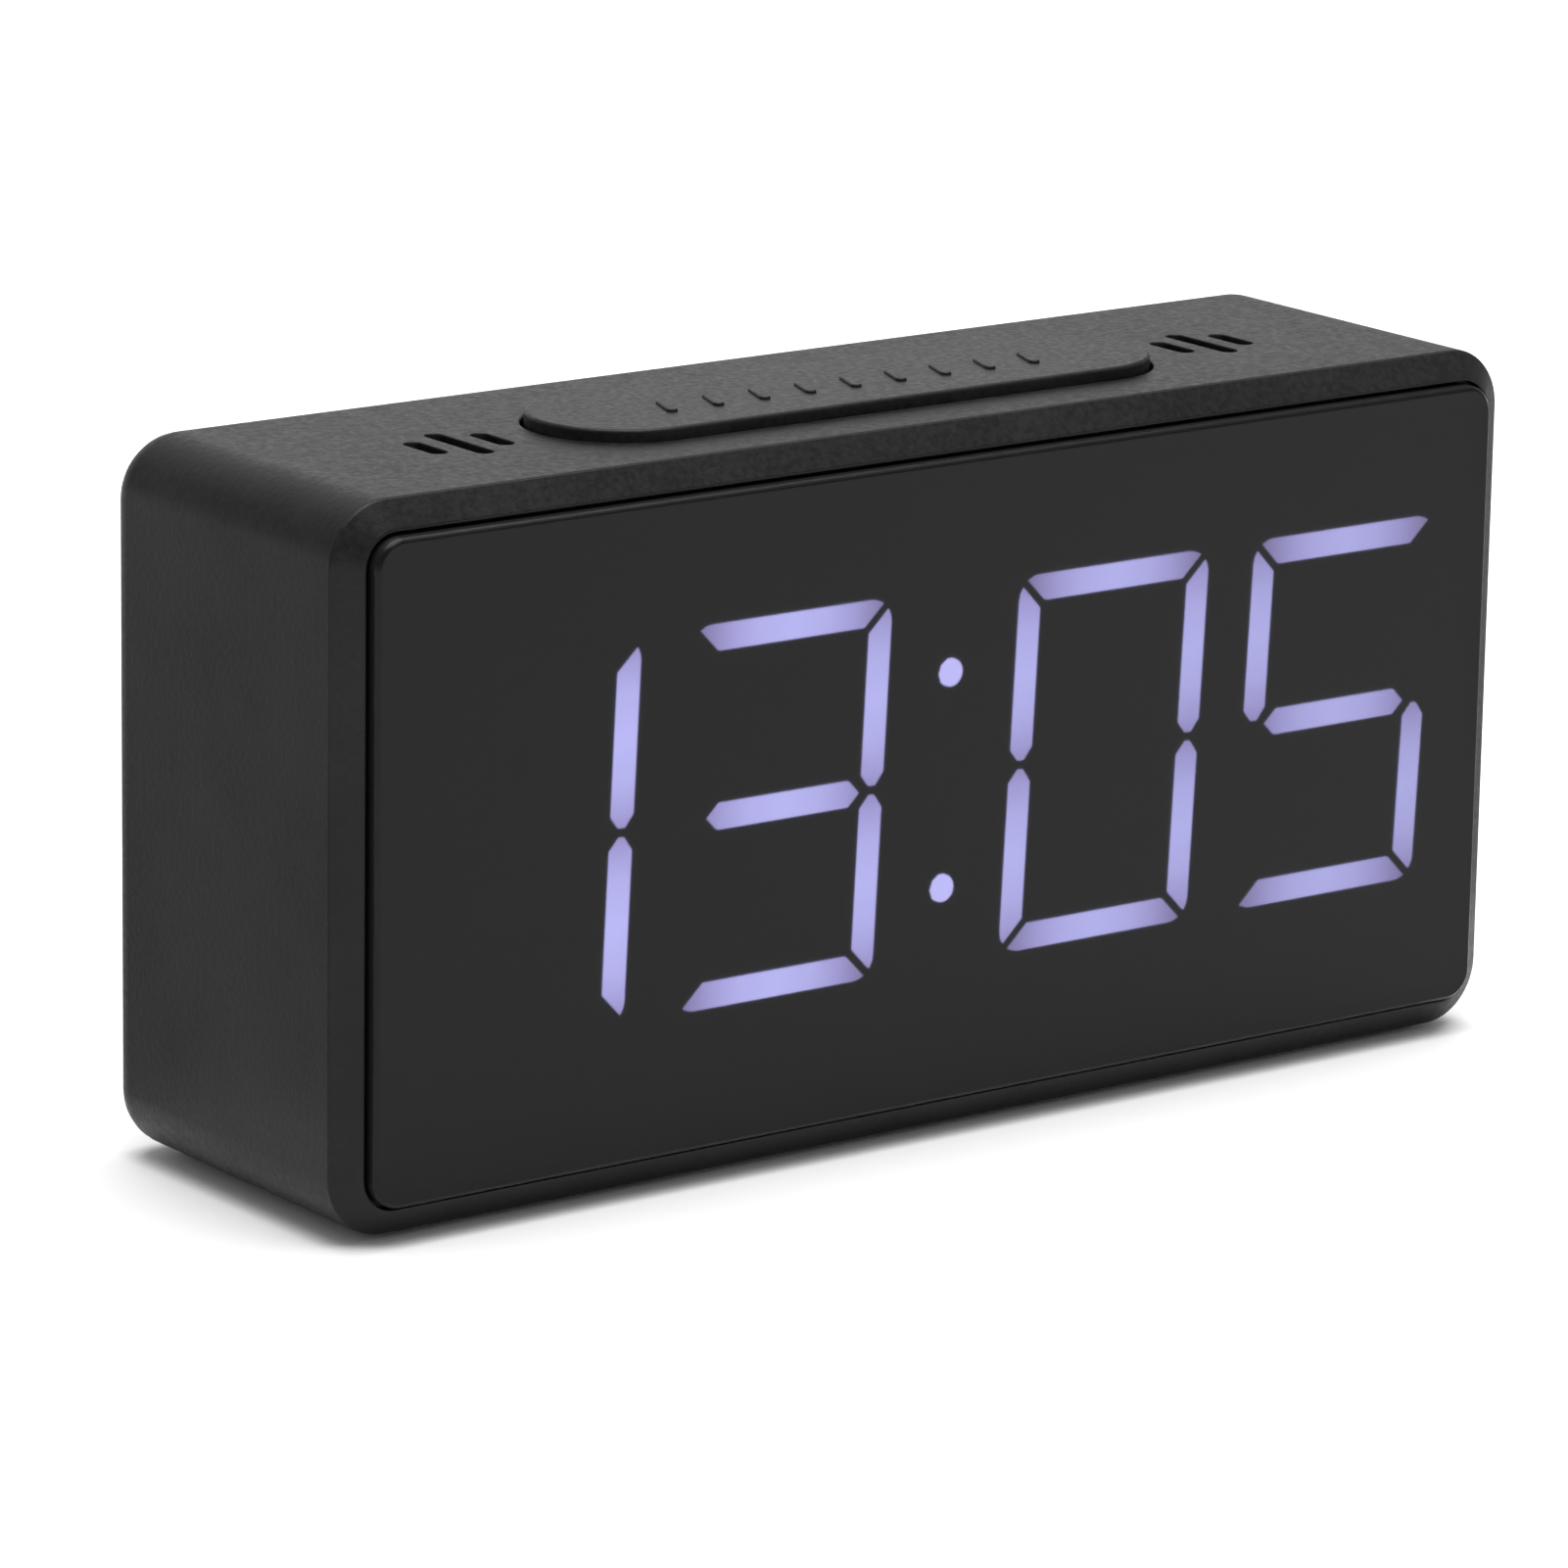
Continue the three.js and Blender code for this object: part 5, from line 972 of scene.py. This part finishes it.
# Each screw of a family has come to rest this much further round, in degrees
SCREW_TURN = 37
long_screw = make_screw("long_screw", 2.3, LONG_HEAD, shoulder=0.5, shank=1.15, length=9.0)
short_screw = make_screw("short_screw", 1.9, SHORT_HEAD, shoulder=0.65, shank=0.9, length=5.2)
SCREWS = {
    "cover_screw": (long_screw, LONG_HEAD, 4), "board_screw": (short_screw, SHORT_HEAD, 4),
    "button_board_screw": (short_screw, SHORT_HEAD, 2)}
for family, (pattern, head_height, count) in SCREWS.items():
    for number in range(1, count + 1):
        node = f"{family}_{number}"
        lowest, highest = box_of(node)
        middle = (lowest + highest) / 2
        faces_front = family == "button_board_screw"
        y = lowest.y + head_height if faces_front else highest.y - head_height
        turn = (0, 0, 180) if faces_front else (0, SCREW_TURN * number, 0)
        screw = copy_to(pattern, f"steel_{node}", (middle.x, y, middle.z), turn)
        close_and_dress(screw, SCREW_STEEL, "screw_steel", "housing", node)
remove(long_screw, short_screw)

# %% [markdown]
# ## The setting buttons
#
# Four round buttons stand in a column beside the battery door. Each is a small moulding with a
# flange behind the cover and a shallow dish on its end for the fingertip. The same profile serves
# for all four: a disc carried on, drawn in at the shoulder, rounded over and dished.

# %% Buttons
# Black ABS from a fine mould, worn smooth by fingers: lighter and glossier than the cover
BUTTON_PLASTIC = grained("black_abs_moulded_button", "#1d1d1f", "#262628", (0.38, 0.48), 0.25, 0.008,
                         Specular_IOR_Level=0.4)
BUTTON_RADIUS, BUTTON_TOP = 2.8, 15.0
KEY_FLANGE_RADIUS, KEY_FLANGE_BACK, KEY_FLANGE_DEPTH = 3.5, 12.1, 1.1
DISH = ((0.35, -0.02), (0.3, -0.1), (0.5, -0.12), (0.6, -0.06))
button = rod("button", (0, BUTTON_TOP, 0), BUTTON_RADIUS, "+Y", BUTTON_TOP - KEY_FLANGE_BACK + OVERLAP,
             (*round_over(0.3), *DISH), sides=64)
join_on(button, rod("flange", (0, KEY_FLANGE_BACK, 0), KEY_FLANGE_RADIUS, "+Y", KEY_FLANGE_DEPTH,
                    round_over(0.1, steps=2)))
for name, height in BUTTON_HEIGHTS.items():
    key = copy_to(button, f"{name}_key_cap", (COLUMN_X, 0, MIDDLE_Z + height))
    close_and_dress(key, BUTTON_PLASTIC, "cover_plastic", f"{name}_key", f"{name}_button")
remove(button)

# %% [markdown]
# ## The power inlet
#
# The inlet is a shell of drawn steel round a black plastic tongue with tin contacts. It sits just
# inside its hole in the cover. The shell is a slab with round sides that is hollowed out; the tongue
# is a second solid inside it, with a row of contact strips on each side.

# %% Shell, tongue and contact strips
# A hard polymer moulded against polished steel: almost smooth, with a dull shine
TONGUE_PLASTIC = grained("liquid_crystal_polymer_moulded", "#101012", "#18181a", (0.45, 0.55),
                         0.2, 0.004)
INLET_FRONT, INLET_BACK = 7.2, 13.9
SHELL, SHELL_RADIUS, HOLLOW, HOLLOW_RADIUS, HOLLOW_DEPTH = (7.5, 2.8), 0.93, (6.8, 2.1), 0.6, 5.0
TONGUE, TONGUE_RADIUS, TONGUE_LENGTH, TONGUE_DROP = (4.4, 0.6), 0.15, 4.75, 0.3
STRIPS, STRIP_PITCH, STRIP_HALF, STRIP_Z, STRIP_THICKNESS = 6, 0.65, 0.15, 0.31, 0.04
STRIP_ROOT, STRIP_TIP = 3.2, 0.6
inlet = slab("inlet", (INLET_X, INLET_BACK, INLET_Z), SHELL, "+Y", INLET_BACK - INLET_FRONT,
             SHELL_RADIUS, round_over(0.12, steps=2), 8)
cut(inlet, drill("hollow", (INLET_X, INLET_BACK, INLET_Z), HOLLOW, "+Y", HOLLOW_DEPTH,
                 HOLLOW_RADIUS, 0.08, 8))
tongue = slab("tongue", (INLET_X, INLET_BACK - TONGUE_DROP, INLET_Z), TONGUE, "+Y", TONGUE_LENGTH,
              TONGUE_RADIUS, round_over(0.1, steps=2), 3)
strip_ends = (INLET_BACK - STRIP_ROOT, INLET_BACK - STRIP_TIP)
strips = []
for side in (-1, 1):
    for i in range(STRIPS):
        x = INLET_X + (i - (STRIPS - 1) / 2) * STRIP_PITCH
        strip = block("strip", around(x, STRIP_HALF), strip_ends,
                      around(INLET_Z + side * STRIP_Z, STRIP_THICKNESS / 2))
        strip.data.materials.append(SCREW_STEEL)
        strips.append(strip)
tongue.data.materials.append(TONGUE_PLASTIC)
inlet.data.materials.append(SCREW_STEEL)
close_up(inlet)
for piece in (tongue, *strips):
    piece.select_set(True)
bpy.ops.object.join()
dress(inlet, SCREW_STEEL, "can_metal", "housing", "usb_socket")

# %% [markdown]
# ## The batteries
#
# Three cells lie in the tub, the middle one turned about. A cell is a drawn steel can in a printed
# film sleeve that is shrunk over its shoulders; only the nub and the flat end show bare steel. The
# sleeve is a plain generic one: two tones with a band between them, and no words. The tone changes
# by the distance along the cell, which the cell keeps in a map of its own.

# %% Sleeve
# Printed film under a thin varnish, with soft wrinkles about 1.8 mm wide where it has shrunk
BATTERY_SLEEVE, tree, shader = new_material(
    "polyester_sleeve_shrunk", Coat_Weight=0.3, Coat_Roughness=0.2)
along = add_node(tree, "ShaderNodeUVMap", {}, uv_map="along_cell")
along_x = add_node(tree, "ShaderNodeSeparateXYZ", {"Vector": (along, "UV")})
bands = add_node(tree, "ShaderNodeValToRGB", {"Fac": (along_x, "X")})
bands.color_ramp.interpolation = "CONSTANT"
stops = bands.color_ramp.elements
stops[0].color, stops[1].color, stops[1].position = srgb("#26303c"), srgb("#b9bec4"), 0.7
stops.new(0.74).color = srgb("#3f6d94")
place = add_node(tree, "ShaderNodeTexCoord", {})
wrinkle = add_node(tree, "ShaderNodeTexNoise", {
    "Vector": (place, "Object"), "Scale": 1 / (1.8 * MM), "Detail": 2.0})
gloss = add_node(tree, "ShaderNodeMapRange", {"Value": (wrinkle, "Fac"), "To Min": 0.25, "To Max": 0.42})
bump = add_node(tree, "ShaderNodeBump", {
    "Height": (wrinkle, "Fac"), "Strength": 1.0, "Distance": 0.012 * MM})
link(tree, bands, "Color", shader, "Base Color")
link(tree, gloss, "Result", shader, "Roughness")
link(tree, bump, "Normal", shader, "Normal")

# %% Nickel-plated strip, also for the can's ends
# Nickel has the same soft clouds as zinc, and is a little warmer
NICKEL = SCREW_STEEL.copy()
NICKEL.name = "nickel_plated_steel_stamped"
for node in NICKEL.node_tree.nodes:
    if node.type == "MIX_RGB":
        node.inputs["Color1"].default_value = srgb("#b3afa4")
        node.inputs["Color2"].default_value = srgb("#d0ccc2")

# %% One cell
CELL_RADIUS, CELL_LENGTH, CELL_SHOULDER, NUB_RADIUS, NUB = 5.25, 44.5, 0.5, 1.9, 0.8
# The sleeve is shrunk over the ends of the can as far in as this radius
SLEEVE_END = 4.3
shoulder_steps = round_over(CELL_SHOULDER)
# Inside the shoulder a flat rim, then a step down that ends 1 mm in from the side, and the nub
nub_steps = ((0.3, 0), (0.2, -0.15), (CELL_RADIUS - 1.0 - NUB_RADIUS, 0), (0, NUB),
             *round_over(0.15, steps=2))
cell = rod("cell", (CELL_LENGTH, 0, 0), CELL_RADIUS, "+X", CELL_LENGTH,
           (*shoulder_steps, *nub_steps), sides=64)
open_up(cell)
select_faces(lambda place, way: way.x < -SAME_WAY)
move_on(-CELL_SHOULDER)
# The flat end has a shallow groove round it
carry_on([*shoulder_steps, (0.5, -0.12), (0.5, 0.12)])
only(cell)
cell.data.materials.append(BATTERY_SLEEVE)
cell.data.materials.append(NICKEL)
cell_map = cell.data.uv_layers.new(name="along_cell")
for loop in cell.data.loops:
    place = cell.data.vertices[loop.vertex_index].co / MM
    cell_map.data[loop.index].uv = (place.x / CELL_LENGTH, 0.5)
for face in cell.data.polygons:
    place = face.center / MM
    face.material_index = int(math.hypot(place.y, place.z) < SLEEVE_END)
print("cell:", [round(d / MM, 2) for d in cell.dimensions])

# %% Three cells in their places
for number in (1, 2, 3):
    lowest, highest = box_of(f"battery_{number}")
    middle = (lowest + highest) / 2
    turned = number == 2
    copy = copy_to(cell, f"cell_{number}", (highest.x if turned else lowest.x, middle.y, middle.z),
                   (0, 0, 180 if turned else 0))
    close_and_dress(copy, BATTERY_SLEEVE, "battery_sleeve", "housing", f"battery_{number}")
remove(cell)

# %% [markdown]
# ## Battery contacts
#
# The contacts are stamped from nickel-plated strip: a plate against each end wall, a dimple for each
# nub and a conical spring for each flat end. A spring is wound wire, so it is drawn as a curve with a
# round section, which follows the turns exactly, and made a mesh before it joins its plate.

# %% One spring and one dimple, both facing +X
SPRING_TURNS, SPRING_FIRST, SPRING_LAST, SPRING_RADIUS, SPRING_TAPER = 3, 0.17, 3.75, 3.2, 1.5
WIRE, STEPS_PER_TURN = 0.25, 28
DIMPLE_RADIUS, DIMPLE_HEIGHT = 1.6, 0.9
bpy.ops.curve.primitive_nurbs_path_add()
spring = bpy.context.object
line = spring.data
line.splines.clear()
turns = line.splines.new("POLY")
turns.points.add(SPRING_TURNS * STEPS_PER_TURN)
for i, point in enumerate(turns.points):
    share = i / (SPRING_TURNS * STEPS_PER_TURN)
    angle, radius = share * SPRING_TURNS * 2 * math.pi, SPRING_RADIUS - SPRING_TAPER * share
    x = SPRING_FIRST + share * (SPRING_LAST - SPRING_FIRST)
    point.co = (x * MM, radius * math.cos(angle) * MM, radius * math.sin(angle) * MM, 1)
line.dimensions = "3D"
line.bevel_depth, line.bevel_resolution, line.use_fill_caps = WIRE * MM, 2, True
only(spring)
bpy.ops.object.convert(target="MESH")
spring = bpy.context.object
dimple = rod("dimple", (DIMPLE_HEIGHT, 0, 0), DIMPLE_RADIUS, "+X", DIMPLE_HEIGHT + OVERLAP,
             ((0.7, 0.75), *round_over(0.15, steps=2)), sides=32)
print("spring:", len(spring.data.vertices), "points")

# %% Plates with their springs, dimples and tabs
CELL_Y, PLATE_HALF, PLATE, TAB_HALF = 6.65, 4.2, 0.4, 0.2
CONTACTS = {
    "contact_positive": (TUB_X[1], -1, [], [1], [1]),
    "contact_negative": (TUB_X[0], 1, [-1], [], [-1]),
    "contact_bridge_1": (TUB_X[0], 1, [1], [0], []),
    "contact_bridge_2": (TUB_X[1], -1, [0], [-1], [])}
for node, (wall, inward, springs, dimples, tabs) in CONTACTS.items():
    rows = [*springs, *dimples]
    low_z = MIDDLE_Z + min(rows) * CELL_PITCH - PLATE_HALF
    high_z = MIDDLE_Z + max(rows) * CELL_PITCH + PLATE_HALF
    face_x, turn = wall + inward * PLATE, (0, 0, 0 if inward > 0 else 180)
    centres = {row: (face_x, CELL_Y, MIDDLE_Z + row * CELL_PITCH) for row in (-1, 0, 1)}
    contact = slab("plate", (face_x, CELL_Y, (low_z + high_z) / 2), (high_z - low_z, 2 * PLATE_HALF),
                   "+X" if inward > 0 else "-X", PLATE, 0.9, round_over(0.08, steps=2), 5)
    for row in dimples:
        join_on(contact, copy_to(dimple, "dimple_copy", centres[row], turn))
    for row in tabs:
        join_on(contact, block("tab", (wall - inward * TAB_LENGTH, wall + inward * OVERLAP), TAB_Y,
                               around(centres[row][2], TAB_HALF)))
    for row in springs:
        join_on(contact, copy_to(spring, "spring_copy", centres[row], turn))
    contact.name = f"stamped_{node}"
    close_and_dress(contact, NICKEL, "nickel_strip", "housing", node)
remove(spring, dimple)

# %% [markdown]
# ## What stays as the mechanical model made it
#
# Film, tape, boards, chips, switches and wires already have their true shape. They get a finish only.
# The colours are those of common parts: green solder resist over glass fibre, black epoxy chips,
# ivory plungers, aluminium cans, grey ribbon with red and black leads.

# %% Finishes of the inner parts
# Film and tape are dead matte, mouldings have a fine even grain, the resist is a thin clear coat, the
# drawn cans shine softly, and the sheaths of the wires are smooth and dull
KEPT = {
    new_material("black_polyester_film_printed", Base_Color=srgb("#030304"), Roughness=0.7,
                 Specular_IOR_Level=0.2)[0]: ["segment_mask"],
    grained("black_foam_tape_punched", "#0a0a0a", "#141414", (0.85, 0.95), 0.5, 0.05): ["lens_tape"],
    grained("white_polycarbonate_moulded", "#dcdcd8", "#eeeeea", (0.35, 0.45), 0.3, 0.01): ["light_box"],
    grained("green_solder_resist_printed", "#144227", "#1f6a3e", (0.25, 0.4), 0.6, 0.02,
            Coat_Weight=0.3): ["display_board", "button_board"],
    grained("black_epoxy_moulded", "#161618", "#202022", (0.4, 0.5), 0.2, 0.01): ["clock_chip"],
    grained("black_nylon_moulded", "#19191b", "#242427", (0.45, 0.55), 0.3, 0.01):
        ["buzzer", "snooze_switch", *(f"{name}_switch" for name in BUTTON_HEIGHTS)],
    grained("ivory_acetal_moulded", "#cfc8b4", "#e0dac8", (0.3, 0.4), 0.4, 0.006):
        ["snooze_plunger", *(f"{name}_plunger" for name in BUTTON_HEIGHTS)],
    grained("aluminium_can_drawn", "#b4b8bc", "#d0d3d6", (0.28, 0.42), 0.5, 0.004, Metallic=1.0):
        ["crystal", "capacitor"],
    grained("red_silicone_extruded", "#8c1717", "#a82424", (0.45, 0.55), 0.6, 0.01):
        ["battery_lead_positive"],
    grained("black_silicone_extruded", "#151515", "#212121", (0.45, 0.55), 0.6, 0.01):
        ["battery_lead_negative"],
    grained("grey_vinyl_ribbon_extruded", "#82858a", "#9da0a5", (0.5, 0.6), 0.7, 0.02): ["ribbon_cable"]}
for material, nodes in KEPT.items():
    for node in nodes:
        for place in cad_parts[node].material_slots:
            place.material = material
print("finishes for", sum(len(nodes) for nodes in KEPT.values()), "kept nodes")

# %% [markdown]
# ## Floor, light and camera
#
# The clock stands on a plain white floor in soft light, as for a catalogue. A broad light hangs over
# it and another stands behind it, because a black matte object is seen by what it reflects: the top
# mirrors the bright side behind it at a low angle and turns grey, while the front faces the dimmer
# side and stays black. A grey card lies on each side of it for the sides to mirror. Only mirrored
# light meets the cards: the camera and the floor don't. The camera has a long lens, stands to the
# left and looks down a little.

# %% Floor
# Paper and card scatter light evenly, with no shine
FLOOR_WHITE, _, _ = new_material("white_paper_floor", Base_Color=srgb("#fcfcfc"), Roughness=0.9)
CARD_GREY, _, _ = new_material("grey_card", Base_Color=srgb("#aeaeae"), Roughness=0.9)
# The cards lie square to the camera, with this side in metres and this turn in degrees
CARD_SIDE, CARD_TURN = 0.3, -36.9
bpy.ops.mesh.primitive_plane_add(size=6, location=(0, 0, 0))
floor = bpy.context.object
floor.name = "floor"
floor.data.materials.append(FLOOR_WHITE)
for side, place in (("left", (-0.13, 0.17, 0.001)), ("right", (0.22, 0.08, 0.001))):
    turn = (0, 0, math.radians(CARD_TURN))
    bpy.ops.mesh.primitive_plane_add(size=CARD_SIDE, location=place, rotation=turn)
    card = bpy.context.object
    card.name = f"{side}_card"
    card.visible_camera = card.visible_diffuse = card.visible_shadow = False
    card.data.materials.append(CARD_GREY)


# %% Lights
def softbox(name, place, aim, size, power):
    """A rectangular light of a size in metres, turned to a point."""
    bpy.ops.object.light_add(type="AREA", location=place)
    light = bpy.context.object
    light.name = name
    light.rotation_euler = (Vector(aim) - Vector(place)).to_track_quat("-Z", "Y").to_euler()
    light.data.shape = "RECTANGLE"
    light.data.size, light.data.size_y = size
    light.data.energy = power


softbox("overhead", (0.1, -0.1, 2.2), (0, 0, 0), (2.2, 2.2), 73)
softbox("behind", (0.5, 1.33, 0.5), (0, 0, 0.05), (1.4, 0.7), 2.0)
world = bpy.data.worlds.new("studio")
bpy.context.scene.world = world
world.use_nodes = True
sky = world.node_tree.nodes["Background"].inputs
sky["Color"].default_value, sky["Strength"].default_value = srgb("#ffffff"), 0.43

# %% Camera
# Its place and turn are fitted to the edges of the case in the photograph
CAMERA_PLACE, CAMERA_AIM = (-0.33279, -0.43841, 0.16279), (-0.00231, 0.00157, 0.02207)
CAMERA_ROLL, CAMERA_LENS, SENSOR = math.radians(0.943), 186.5, 36
bpy.ops.object.camera_add(location=CAMERA_PLACE)
camera = bpy.context.object
camera.rotation_mode = "QUATERNION"
look = (Vector(CAMERA_AIM) - Vector(CAMERA_PLACE)).to_track_quat("-Z", "Y")
camera.rotation_quaternion = look @ Quaternion((0, 0, 1), CAMERA_ROLL)
camera.data.lens, camera.data.sensor_width = CAMERA_LENS, SENSOR
bpy.context.scene.camera = camera
bpy.context.scene.view_settings.view_transform = "Standard"
